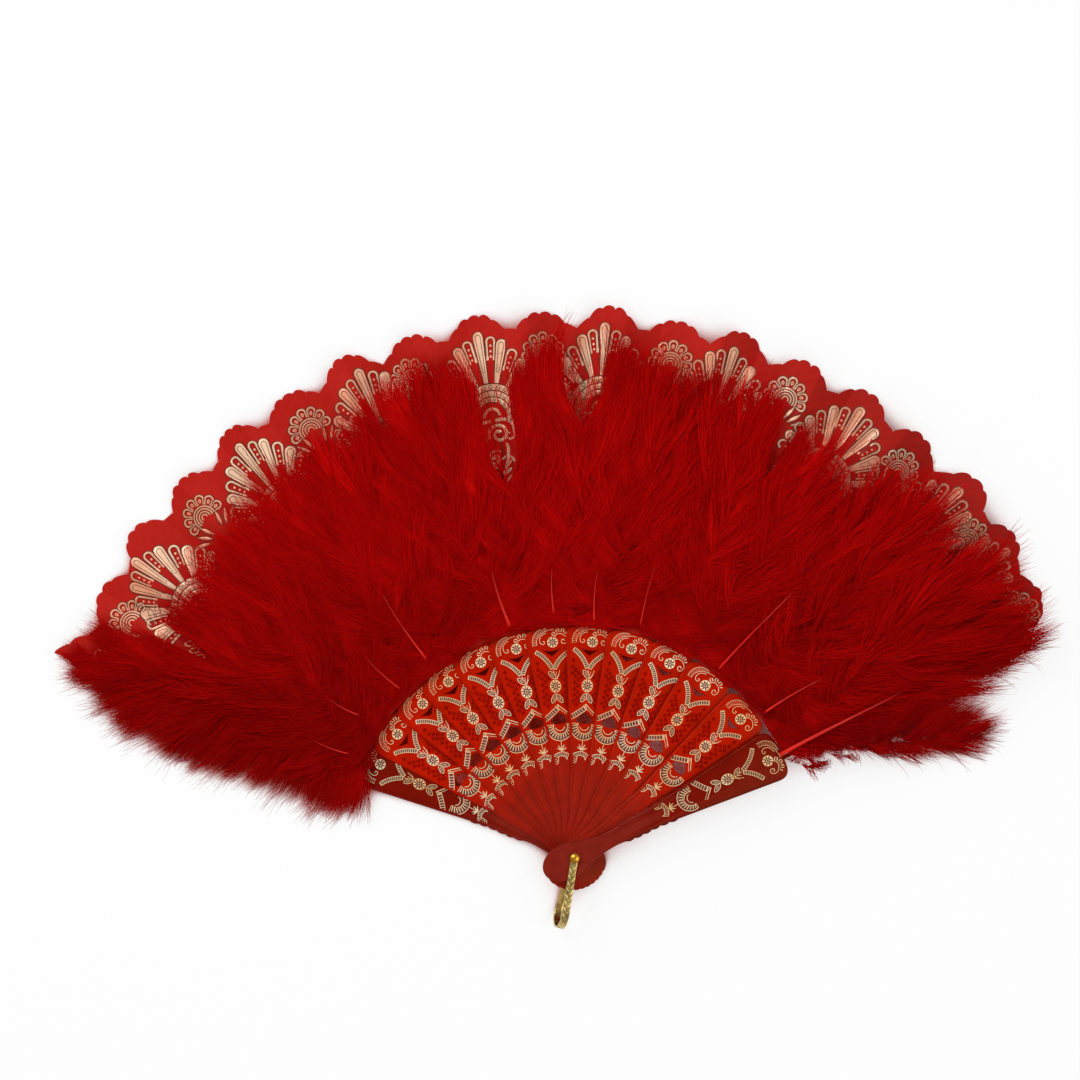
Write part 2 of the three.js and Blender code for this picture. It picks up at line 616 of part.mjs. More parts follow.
// One plume of the lower row, on the slip of a stick.
// On a guard, its outer half hangs past the guard's edge and droops.
function lowerPlume(index) {
  const centre = ELEMENT_ANGLES[index];
  const isEnd = index === 0 || index === FRONT_GUARD;
  const overhang = index === 0 ? LEFT_OVERHANG : RIGHT_OVERHANG;
  const overhangShares = index === 0 ? LEFT_OVERHANG_SHARES : RIGHT_OVERHANG_SHARES;
  const droop = index === 0 ? LEFT_DROOP : RIGHT_DROOP;
  const droopStart = index === 0 ? LEFT_DROOP_START : RIGHT_DROOP_START;
  const tip = isEnd ? END_PLUME_TIP_RADIUS : swayedTip(LOWER_TIP_RADIUS, index);
  const spot = (row, column) => {
    const side = (PLUME_HALF_COLUMNS - column) / PLUME_HALF_COLUMNS;
    const radius = plumeRadius(row, column, tip);
    const isOutside = (index === 0 && side > 0) || (index === FRONT_GUARD && side < 0);
    if (isOutside) {
      const across = side * overhang * overhangShares[row];
      const angle = centre + across / radius;
      const sink = (droop * Math.max(0, Math.abs(across) - droopStart)) / (overhang - droopStart);
      return { radius, angle, side, sink };
    }
    const neighbour = ELEMENT_ANGLES[side > 0 || index === FRONT_GUARD ? index - 1 : index + 1];
    const angle = centre + side * innerSpread(Math.abs(neighbour - centre) / 2, row);
    return { radius, angle, side, sink: 0 };
  };
  const lower = (row, column) => {
    const { radius, angle, sink } = spot(row, column);
    const place = polar(radius, angle);
    return [place.x, place.y, plumeFloor(angle) - sink];
  };
  const upper = (row, column) => {
    const { radius, angle, side, sink } = spot(row, column);
    const place = polar(radius, angle);
    if (sink === 0 && !isEnd) return [place.x, place.y, lowerRowTop(radius, angle)];
    const loft = LOWER_LOFT * loftShare(radius, END_PLUME_TIP_RADIUS) * (1 - side ** 2);
    const fullTop = plumeFloor(angle) + PLUME_EDGE_THICKNESS + loft;
    return [place.x, place.y, Math.min(fullTop, lowerRowTop(radius, angle)) - sink];
  };
  const geometry = closedSheet(PLUME_ROWS, 2 * PLUME_HALF_COLUMNS, upper, lower);
  return namedMesh(`lower_plume_${twoDigits(index)}`, geometry, feather);
}

// One plume of the upper row, resting on two plumes of the lower row.
function upperPlume(index) {
  const left = ELEMENT_ANGLES[index - 1];
  const right = ELEMENT_ANGLES[index];
  const tip = swayedTip(UPPER_TIP_RADIUS, index);
  const spot = (row, column) => {
    const side = (PLUME_HALF_COLUMNS - column) / PLUME_HALF_COLUMNS;
    const radius = plumeRadius(row, column, tip);
    const angle = (left + right) / 2 + side * innerSpread((left - right) / 2, row);
    return { radius, angle, side };
  };
  const lower = (row, column) => {
    const { radius, angle } = spot(row, column);
    const place = polar(radius, angle);
    return [place.x, place.y, lowerRowTop(radius, angle) + PLUME_ROW_CLEARANCE];
  };
  const upper = (row, column) => {
    const { radius, angle, side } = spot(row, column);
    const place = polar(radius, angle);
    const lowerCrest = PLUME_EDGE_THICKNESS + LOWER_LOFT * loftShare(radius, END_PLUME_TIP_RADIUS);
    const loft = PLUME_EDGE_THICKNESS + UPPER_LOFT * loftShare(radius, tip) * (1 - side ** 2);
    return [place.x, place.y, plumeFloor(angle) + lowerCrest + PLUME_ROW_CLEARANCE + loft];
  };
  const geometry = closedSheet(PLUME_ROWS, 2 * PLUME_HALF_COLUMNS, upper, lower);
  return namedMesh(`upper_plume_${twoDigits(index)}`, geometry, feather);
}

function leafAndFeathers() {
  const group = new THREE.Group();
  for (let index = 0; index <= FRONT_GUARD; index += 1) {
    group.add(lowerPlume(index));
  }
  for (let index = 1; index <= FRONT_GUARD; index += 1) {
    group.add(leafPanel(index));
    group.add(upperPlume(index));
  }
  return group;
}

const featherFan = new THREE.Group();
featherFan.name = "feather_fan";
featherFan.add(sticksAndGuards(), rivetPin(), rivetDome(), bail(), leafAndFeathers());

export default featherFan;
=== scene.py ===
"""Looks of a folding feather fan that lies open, face up.

Sizes are in millimetres until a mesh is made, and in metres after that. X runs
to the right, Y away from the rivet and Z up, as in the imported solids.
"""

import logging
import math
from collections.abc import Callable, Sequence
from dataclasses import dataclass, field
from enum import Enum

import bmesh
import bpy
import numpy as np
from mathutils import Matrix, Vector


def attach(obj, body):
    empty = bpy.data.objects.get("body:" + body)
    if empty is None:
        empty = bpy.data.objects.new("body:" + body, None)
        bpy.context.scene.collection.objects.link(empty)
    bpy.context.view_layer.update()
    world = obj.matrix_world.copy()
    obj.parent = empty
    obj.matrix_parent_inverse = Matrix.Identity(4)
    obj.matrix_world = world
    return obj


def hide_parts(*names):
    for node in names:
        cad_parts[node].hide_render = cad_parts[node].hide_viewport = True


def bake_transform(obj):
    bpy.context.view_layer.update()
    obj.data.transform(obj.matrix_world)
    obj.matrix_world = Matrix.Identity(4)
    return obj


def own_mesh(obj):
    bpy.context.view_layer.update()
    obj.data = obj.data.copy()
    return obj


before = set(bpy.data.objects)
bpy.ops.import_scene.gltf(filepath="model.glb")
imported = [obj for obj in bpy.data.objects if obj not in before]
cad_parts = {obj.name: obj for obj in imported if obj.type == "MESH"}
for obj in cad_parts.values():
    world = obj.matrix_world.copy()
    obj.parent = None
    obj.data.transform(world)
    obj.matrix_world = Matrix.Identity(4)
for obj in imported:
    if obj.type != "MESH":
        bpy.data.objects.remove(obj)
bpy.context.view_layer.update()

Array = np.ndarray
Colour = tuple[float, float, float, float]
Material = bpy.types.Material
Place = Callable[[Array], Array]
Point = tuple[float, float]
Socket = bpy.types.NodeSocket

MM = 0.001
SPREAD_OF_SHADES = 5.0
log = logging.getLogger("feather_fan")


# Surfaces and meshes


@dataclass
class Surface:
    """Points in millimetres with the faces between them, as quads and triangles."""

    points: Array
    quads: Array = field(default_factory=lambda: np.zeros((0, 4), int))
    triangles: Array = field(default_factory=lambda: np.zeros((0, 3), int))

    def turned(self, angle: float, lift: float) -> "Surface":
        """Returns a copy turned about the rivet's axis by angle in radians and raised by lift."""
        c, s = math.cos(angle), math.sin(angle)
        turn = np.array([[c, s, 0], [-s, c, 0], [0, 0, 1]])
        return Surface(self.points @ turn + [0, 0, lift], self.quads, self.triangles)

    @staticmethod
    def joined(parts: Sequence["Surface"]) -> "Surface":
        """Puts several surfaces into one, each shell by itself.

        Args:
            parts: The surfaces.

        Returns:
            One surface that holds them all.
        """
        starts = np.cumsum([0] + [len(p.points) for p in parts])
        return Surface(
            np.concatenate([p.points for p in parts]),
            np.concatenate([p.quads + s for p, s in zip(parts, starts)]),
            np.concatenate([p.triangles + s for p, s in zip(parts, starts)]),
        )


def grid_quads(rows: int, columns: int, ring: bool = False) -> Array:
    """Lists the faces of a grid of points held row by row.

    Args:
        rows: Rows of points.
        columns: Points in a row.
        ring: True if the last column joins the first.

    Returns:
        Four point numbers for each face.
    """
    across = columns if ring else columns - 1
    r, c = np.meshgrid(np.arange(rows - 1), np.arange(across), indexing="ij")
    a, b = r * columns + c, r * columns + (c + 1) % columns
    return np.stack([a, b, b + columns, a + columns], -1).reshape(-1, 4)


def tube(rings: Array) -> Surface:
    """Skins a run of closed rings and closes both ends with a fan of triangles.

    Args:
        rings: Points of the rings, as ring by point by 3.

    Returns:
        The closed tube.
    """
    count, sides = rings.shape[:2]
    middles = rings[[0, -1]].mean(1)
    points = np.concatenate([rings.reshape(-1, 3), middles])
    first, last = count * sides, count * sides + 1
    k = np.arange(sides)
    after = (k + 1) % sides
    start = np.stack([after, k, np.full(sides, first)], -1)
    end = np.stack([k, after], -1) + (count - 1) * sides
    end = np.concatenate([end, np.full((sides, 1), last)], -1)
    return Surface(points, grid_quads(count, sides, True), np.concatenate([start, end]))


def thick_sheet(top: Array, bottom: Array) -> Surface:
    """Closes the space between an upper and a lower grid of points.

    Args:
        top: Upper points, as row by column by 3.
        bottom: Lower points, likewise.

    Returns:
        The closed sheet.
    """
    rows, columns = top.shape[:2]
    size = rows * columns
    upper = grid_quads(rows, columns)
    index = np.arange(size).reshape(rows, columns)
    edge = np.concatenate([index[0, :-1], index[:-1, -1], index[-1, :0:-1], index[:0:-1, 0]])
    after = np.roll(edge, -1)
    wall = np.stack([edge, edge + size, after + size, after], -1)
    quads = np.concatenate([upper, upper[:, ::-1] + size, wall])
    return Surface(np.concatenate([top.reshape(-1, 3), bottom.reshape(-1, 3)]), quads)


@dataclass
class Piece:
    """One named object of the fan, made of a surface in the fan's own frame."""

    name: str
    surface: Surface
    materials: Sequence[Material]
    slot: str
    material_index: Array | None = None
    sharp_angle: float = 35.0

    def make(self) -> bpy.types.Object:
        """Builds the mesh from whole arrays, links its object at the origin and reports it."""
        mesh = bpy.data.meshes.new(self.name)
        s = self.surface
        corners = np.concatenate([s.quads.ravel(), s.triangles.ravel()])
        sizes = np.concatenate([np.full(len(s.quads), 4), np.full(len(s.triangles), 3)])
        starts = np.concatenate([[0], np.cumsum(sizes)[:-1]])
        mesh.vertices.add(len(s.points))
        mesh.vertices.foreach_set("co", (s.points * MM).astype(np.float32).ravel())
        mesh.loops.add(len(corners))
        mesh.loops.foreach_set("vertex_index", corners.astype(np.int32))
        mesh.polygons.add(len(sizes))
        mesh.polygons.foreach_set("loop_start", starts.astype(np.int32))
        if self.material_index is not None:
            mesh.polygons.foreach_set("material_index", self.material_index.astype(np.int32))
        mesh.update(calc_edges=True)
        mesh.shade_smooth()
        if self.sharp_angle < 180:
            mesh.set_sharp_from_angle(angle=math.radians(self.sharp_angle))
        for material in self.materials:
            mesh.materials.append(material)
        made = bpy.data.objects.new(self.name, mesh)
        bpy.context.scene.collection.objects.link(made)
        log.info("%s: %d faces", self.name, len(mesh.polygons))
        return made


def add_uv(made: bpy.types.Object, name: str, per_point: Array) -> None:
    """Gives a mesh a map that holds two numbers for each of its points.

    Args:
        made: The mesh object.
        name: The map's name.
        per_point: Two numbers a point.
    """
    mesh = made.data
    corner_points = np.empty(len(mesh.loops), np.int32)
    mesh.loops.foreach_get("vertex_index", corner_points)
    layer = mesh.uv_layers.new(name=name)
    layer.uv.foreach_set("vector", per_point[corner_points].astype(np.float32).ravel())


# Finishes


def display(red: float, green: float, blue: float) -> Colour:
    """Turns a display colour of 0 to 255 a channel into a linear one."""
    shares = [value / 255 for value in (red, green, blue)]
    return *(s / 12.92 if s <= 0.04045 else ((s + 0.055) / 1.055) ** 2.4 for s in shares), 1.0


class NodeMaterial:
    """A material with one Principled shader and short ways to add nodes to it."""

    def __init__(self, name: str, **sockets: float | Colour) -> None:
        """Starts the material.

        Args:
            name: Its name.
            sockets: Values for the shader's own sockets, with _ for a blank.
        """
        self.material = bpy.data.materials.new(name)
        self.material.use_nodes = True
        self.tree = self.material.node_tree
        self.shader = self.tree.nodes["Principled BSDF"]
        for key, value in sockets.items():
            self.shader.inputs[key.replace("_", " ")].default_value = value

    def add(self, kind: str, *sources: Socket, **values: object) -> bpy.types.Node:
        """Adds a node, joins its first sockets, and sets its properties or sockets by name.

        Args:
            kind: Name of the node's type.
            sources: What its first sockets take.
            values: Properties, or sockets by name, with _ for a blank.

        Returns:
            The node.
        """
        node = self.tree.nodes.new(kind)
        for key, value in values.items():
            if hasattr(node, key):
                setattr(node, key, value)
            else:
                node.inputs[key.replace("_", " ")].default_value = value
        for source, socket in zip(sources, node.inputs):
            self.join(source, socket)
        return node

    def join(self, source: Socket | float | Colour, target: Socket) -> None:
        """Links a socket to another, or sets that other one to a value."""
        if isinstance(source, Socket):
            self.tree.links.new(source, target)
        else:
            target.default_value = source

    def own_coordinates(self) -> Socket:
        """Returns the piece's own coordinates, in metres."""
        return self.add("ShaderNodeTexCoord").outputs["Object"]

    def uv(self, name: str) -> Socket:
        """Returns a UV map of the piece."""
        return self.add("ShaderNodeUVMap", uv_map=name).outputs["UV"]

    def channel(self, vector: Socket, axis: str) -> Socket:
        """Returns one channel of a vector."""
        return self.add("ShaderNodeSeparateXYZ", vector).outputs[axis]

    def product(self, first: Socket, second: Socket | float) -> Socket:
        """Multiplies two values, and returns the result."""
        node = self.add("ShaderNodeMath", first, operation="MULTIPLY")
        self.join(second, node.inputs[1])
        return node.outputs[0]

    def noise(self, vector: Socket, size: float, detail: float = 3.0) -> Socket:
        """Adds a noise whose grains are about size metres wide, and returns it."""
        return self.add("ShaderNodeTexNoise", vector, Scale=1 / size, Detail=detail).outputs["Fac"]

    def ramp(self, source: Socket, *stops: tuple[float, float | Colour]) -> Socket:
        """Adds a ramp of colours or greys.

        Args:
            source: The place along the ramp.
            stops: Places with a colour or grey each.

        Returns:
            The ramp's colour.
        """
        node = self.add("ShaderNodeValToRGB", source)
        elements = node.color_ramp.elements
        while len(elements) < len(stops):
            elements.new(0.5)
        for element, (position, tone) in zip(elements, stops):
            element.position = position
            element.color = tone if isinstance(tone, tuple) else (tone, tone, tone, 1)
        return node.outputs["Color"]

    def blend(
        self, share: Socket | float, first: Socket | Colour, second: Socket | Colour, mode: str = "MIX"
    ) -> Socket:
        """Mixes two colours in the given way, and returns the result."""
        node = self.add("ShaderNodeMix", data_type="RGBA", blend_type=mode)
        for index, value in ((0, share), (6, first), (7, second)):
            self.join(value, node.inputs[index])
        return node.outputs[2]

    def scaled(self, source: Socket, low: float, high: float) -> Socket:
        """Maps 0 to 1 onto low to high, and returns the result."""
        return self.add("ShaderNodeMapRange", source, To_Min=low, To_Max=high).outputs["Result"]

    def painted_shade_to_the_right(self) -> Socket:
        """Returns a painted shade that falls to three quarters from 60 to 150 mm right of the rivet."""
        rightward = self.product(self.channel(self.own_coordinates(), "X"), SPREAD_OF_SHADES)
        return self.ramp(rightward, (0.3, 1), (0.75, 0.76))

    def colour(self, *layers: Socket) -> None:
        """Makes the base colour the product of its layers."""
        base = layers[0]
        for layer in layers[1:]:
            base = self.blend(1.0, base, layer, "MULTIPLY")
        self.join(base, self.shader.inputs["Base Color"])

    def roughen(self, source: Socket, low: float, high: float) -> None:
        """Lets the roughness run from low to high."""
        self.join(self.scaled(source, low, high), self.shader.inputs["Roughness"])

    def bump(self, height: Socket, depth: float, strength: float) -> None:
        """Lets a height of 0 to 1 raise the surface by depth metres."""
        node = self.add("ShaderNodeBump", Distance=depth, Strength=strength)
        self.join(height, node.inputs["Height"])
        self.join(node.outputs["Normal"], self.shader.inputs["Normal"])

    def mix_surface(self, share: Socket, other: bpy.types.Node) -> None:
        """Makes the surface a mix of the shader and a share of another one."""
        mixed = self.add("ShaderNodeMixShader", share, self.shader.outputs[0], other.outputs[0])
        self.join(mixed.outputs[0], self.tree.nodes["Material Output"].inputs["Surface"])


@dataclass(frozen=True)
class GlossPlastic:
    """Injection-moulded plastic, browner at the neck and brighter on the thin blade.

    Its Blade map holds the distance along the stick and the share of the way from
    the next stick's edge to its own. The plastic is darker near the next stick's
    edge, a painted contact shadow, and a little lighter on the ridge by its own
    edge, a painted highlight. Its neck colour holds part of the pinkish gloss as a
    painted reflection.
    """

    name: str = "gloss_plastic"
    # Painted reflection: the neck colour is lifted towards pink for part of the neck's gloss.
    neck: Colour = display(142, 26, 15)
    blade: Colour = display(173, 20, 0)
    roughness: float = 0.18
    glow: float = 0.7
    specular: float = 0.14

    def make(self) -> Material:
        """Returns the material."""
        m = NodeMaterial(
            self.name, Roughness=self.roughness, Specular_IOR_Level=self.specular,
            Specular_Tint=display(255, 170, 110),
        )
        place, blade = m.own_coordinates(), m.uv("Blade")
        base = m.ramp(m.channel(blade, "X"), (0.36, self.neck), (0.6, self.blade))
        # Painted shade and highlight: dark near the next stick's edge as a contact shadow, lighter on the
        # ridge.
        edge = m.ramp(
            m.channel(blade, "Y"),
            (0.0, 0.5), (0.07, 0.78), (0.25, 0.95), (0.84, 0.95), (0.9, 1.0), (1.0, 0.9),
        )
        m.colour(base, edge, m.scaled(m.noise(place, 0.008), 0.72, 1.36))
        fine = m.noise(place, 0.0012, 2.0)
        m.roughen(fine, self.roughness - 0.05, self.roughness + 0.1)
        m.bump(fine, 0.00004, 0.35)
        self.let_light_through(m)
        return m.material

    def let_light_through(self, m: NodeMaterial) -> None:
        """Tints the light that thin mouldings let through to what lies under them."""
        path = m.add("ShaderNodeLightPath").outputs["Is Shadow Ray"]
        through = m.add("ShaderNodeBsdfTransparent", Color=(0.92, 0.1, 0.06, 1))
        m.mix_surface(m.product(path, self.glow), through)


@dataclass(frozen=True)
class Foil:
    """Hot-stamped metal foil, rubbed thin here and there, with patches of painted highlight, and darker to
    the right by a painted shade where that is asked for.
    """

    name: str
    metal: Colour
    glint: Colour
    worn: Colour
    metallic: float = 0.25
    roughness: float = 0.3
    wear: float = 0.68
    painted_shade_rightward: bool = False

    def make(self) -> Material:
        """Returns the material."""
        m = NodeMaterial(self.name, Roughness=self.roughness, Metallic=self.metallic)
        place = m.own_coordinates()
        rubbed = m.ramp(m.noise(place, 0.0011, 4.0), (self.wear, 0), (self.wear + 0.06, 1))
        # Painted highlight: patches of the glint colour stand in for foil catching the light.
        spots = m.ramp(m.noise(place, 0.028), (0.4, self.metal), (0.62, self.glint))
        patchy = m.blend(1.0, spots, m.scaled(m.noise(place, 0.007), 0.75, 1.1), "MULTIPLY")
        base = m.blend(rubbed, patchy, self.worn)
        # Painted shade: where asked for, the foil darkens towards the right.
        m.colour(*((base, m.painted_shade_to_the_right()) if self.painted_shade_rightward else (base,)))
        m.roughen(m.noise(place, 0.0007, 2.0), self.roughness - 0.1, self.roughness + 0.12)
        return m.material


@dataclass(frozen=True)
class SatinCloth:
    """Thin satin whose twill lines cross the fan's rays, darker towards its right end by a painted shade."""

    dye: Colour = display(190, 34, 22)
    shade: Colour = display(160, 16, 10)
    thread: float = 0.00045

    def make(self) -> Material:
        """Returns the material."""
        m = NodeMaterial(
            "leaf_cloth", Roughness=0.6, Specular_IOR_Level=0.08, Sheen_Weight=0.12,
            Sheen_Roughness=0.4, Sheen_Tint=display(255, 110, 80),
        )
        place = m.own_coordinates()
        weave = m.add(
            "ShaderNodeTexWave", m.uv("Weave"), Scale=1 / self.thread / 20, Distortion=0.6,
            bands_direction="DIAGONAL",
        ).outputs["Fac"]
        base = m.blend(m.scaled(m.noise(place, 0.022), 0.1, 0.9), self.dye, self.shade)
        # Painted shade: the cloth darkens towards the right.
        m.colour(base, m.painted_shade_to_the_right(), m.scaled(weave, 0.97, 1.02))
        height = m.add("ShaderNodeMath", weave, operation="MULTIPLY_ADD")
        height.inputs[1].default_value = 0.06
        m.join(m.noise(place, 0.007, 2.0), height.inputs[2])
        m.bump(height.outputs[0], 0.0006, 0.5)
        return m.material


@dataclass(frozen=True)
class Down:
    """Dyed down. Each barb has its own tone, and is darker near its quill.

    The down is a little darker towards the fan's two ends, low in the picture, as a painted shade.
    """

    dark: Colour = display(140, 0, 0)
    middle: Colour = display(177, 1, 1)
    bright: Colour = display(212, 8, 4)

    def make(self) -> Material:
        """Returns the material."""
        m = NodeMaterial(
            "down", Roughness=0.9, Specular_IOR_Level=0.04, Sheen_Weight=0.04,
            Sheen_Roughness=0.5, Sheen_Tint=display(255, 40, 20),
        )
        barb = m.uv("Barb")
        tone = m.ramp(m.channel(barb, "X"), (0.0, self.dark), (0.5, self.middle), (1.0, self.bright))
        depth = m.ramp(m.channel(barb, "Y"), (0.0, 0.72), (0.5, 0.95), (1.0, 1))
        # Painted shade: darker low in the picture, towards the fan's two ends.
        outward = m.product(m.channel(m.own_coordinates(), "Y"), SPREAD_OF_SHADES)
        m.colour(tone, depth, m.ramp(outward, (0.28, 0.66), (0.55, 0.85), (0.75, 1)))
        return m.material


@dataclass(frozen=True)
class Quill:
    """Horny, glossy quill, dyed with the down."""

    root: Colour = display(222, 30, 10)
    tip: Colour = display(150, 2, 1)

    def make(self) -> Material:
        """Returns the material."""
        m = NodeMaterial("quill", Roughness=0.3, Specular_IOR_Level=0.2)
        base = m.ramp(m.channel(m.uv("Barb"), "Y"), (0.0, self.root), (1.0, self.tip))
        m.colour(base, m.scaled(m.noise(m.own_coordinates(), 0.0015, 2.0), 0.8, 1.15))
        return m.material


@dataclass(frozen=True)
class GiltMetal:
    """Brass-plated metal with darker tarnish in patches."""

    name: str
    bright: Colour = display(200, 172, 100)
    tarnish: Colour = display(108, 78, 32)
    engraved: bool = False

    def make(self) -> Material:
        """Returns the material, whose Relief map darkens the grooves with a painted shade if it is engraved.
        """
        m = NodeMaterial(self.name, Roughness=0.22, Metallic=1.0)
        place = m.own_coordinates()
        cloud = m.ramp(m.noise(place, 0.004, 4.0), (0.42, 0), (0.75, 1))
        layers = [m.blend(cloud, self.bright, self.tarnish)]
        if self.engraved:
            # Painted shade: the grooves between the raised leaves turn near black.
            relief = m.channel(m.uv("Relief"), "X")
            layers.append(m.ramp(relief, (0.45, (0.06, 0.035, 0.01, 1)), (0.9, 1)))
        m.colour(*layers)
        fine = m.noise(place, 0.0006, 2.0)
        m.roughen(fine, 0.14, 0.34)
        m.bump(fine, 0.00003, 0.3)
        return m.material


@dataclass(frozen=True)
class StudioFloor:
    """Pale floor that shows near white to the camera and still takes a soft shadow."""

    bare: Colour = (0.86, 0.86, 0.86, 1.0)
    painted_shade_and_bounce: Colour = display(206, 56, 26)
    glow: float = 0.85
    reach: float = 0.03

    def make(self) -> Material:
        """Returns the material."""
        m = NodeMaterial("studio_floor", Roughness=0.9, Specular_IOR_Level=0.1, Base_Color=self.bare)
        path = m.add("ShaderNodeLightPath").outputs
        seen = m.add("ShaderNodeMath", path["Is Camera Ray"], path["Is Glossy Ray"], operation="MAXIMUM")
        glow = m.add("ShaderNodeEmission", Color=(1, 1, 1, 1), Strength=1.0)
        m.mix_surface(m.product(seen.outputs[0], self.open_share(m)), glow)
        return m.material

    def open_share(self, m: NodeMaterial) -> Socket:
        """Returns the glow's share, which fades where something close by covers the floor.

        Under the pierced blades the floor then shows as dark as it is lit, and its
        colour turns a darker red there, a painted shade with painted red bounce light.
        """
        cover = m.add("ShaderNodeAmbientOcclusion", samples=8, Distance=self.reach).outputs["AO"]
        # Painted shade and red bounce light: the floor colour turns a darker red where it is covered.
        m.colour(m.ramp(cover, (0.38, self.painted_shade_and_bounce), (0.8, self.bare)))
        return m.add(
            "ShaderNodeMapRange", cover, interpolation_type="SMOOTHSTEP", From_Min=0.38, From_Max=0.75,
            To_Max=self.glow,
        ).outputs["Result"]


class Finish(Enum):
    """The finishes of the fan."""

    PLASTIC = GlossPlastic()
    # The guards' neck colour likewise holds part of the gloss as a painted reflection.
    GUARD_PLASTIC = GlossPlastic("guard_plastic", display(124, 30, 22), display(114, 12, 4), 0.18, 0.1)
    # Painted shade: the web's darker red shows the lattice's diamonds dark.
    WEB_IN_PAINTED_SHADE = GlossPlastic("web_in_painted_shade", display(146, 12, 1), display(146, 12, 1), 0.5, 0.7, 0.06)
    STICK_FOIL = Foil(
        "stick_foil", display(250, 212, 148), display(255, 242, 198), display(190, 60, 22), wear=0.64
    )
    STICK_FOIL_DARK = Foil(
        "stick_foil_dark", display(96, 18, 6), display(104, 22, 8), display(120, 12, 4), 0.0, 0.45, 0.72
    )
    # The leaf foil takes the painted shade to the right.
    LEAF_FOIL = Foil(
        "leaf_foil", display(242, 162, 124), display(255, 212, 176), display(200, 56, 42), painted_shade_rightward=True
    )
    LEAF_FOIL_DARK = Foil(
        "leaf_foil_dark", display(84, 36, 18), display(84, 36, 18), display(130, 20, 14), 0.1, 0.5
    )
    CLOTH = SatinCloth()
    DOWN = Down()
    QUILL = Quill()
    GILT = GiltMetal("gilt_metal")
    ENGRAVED_GILT = GiltMetal("engraved_gilt", display(214, 188, 118), engraved=True)
    RIVET_CAP = GiltMetal("rivet_cap", display(222, 160, 50), display(150, 84, 16))
    FLOOR = StudioFloor()


Finishes = dict[Finish, Material]


# The fan's layout


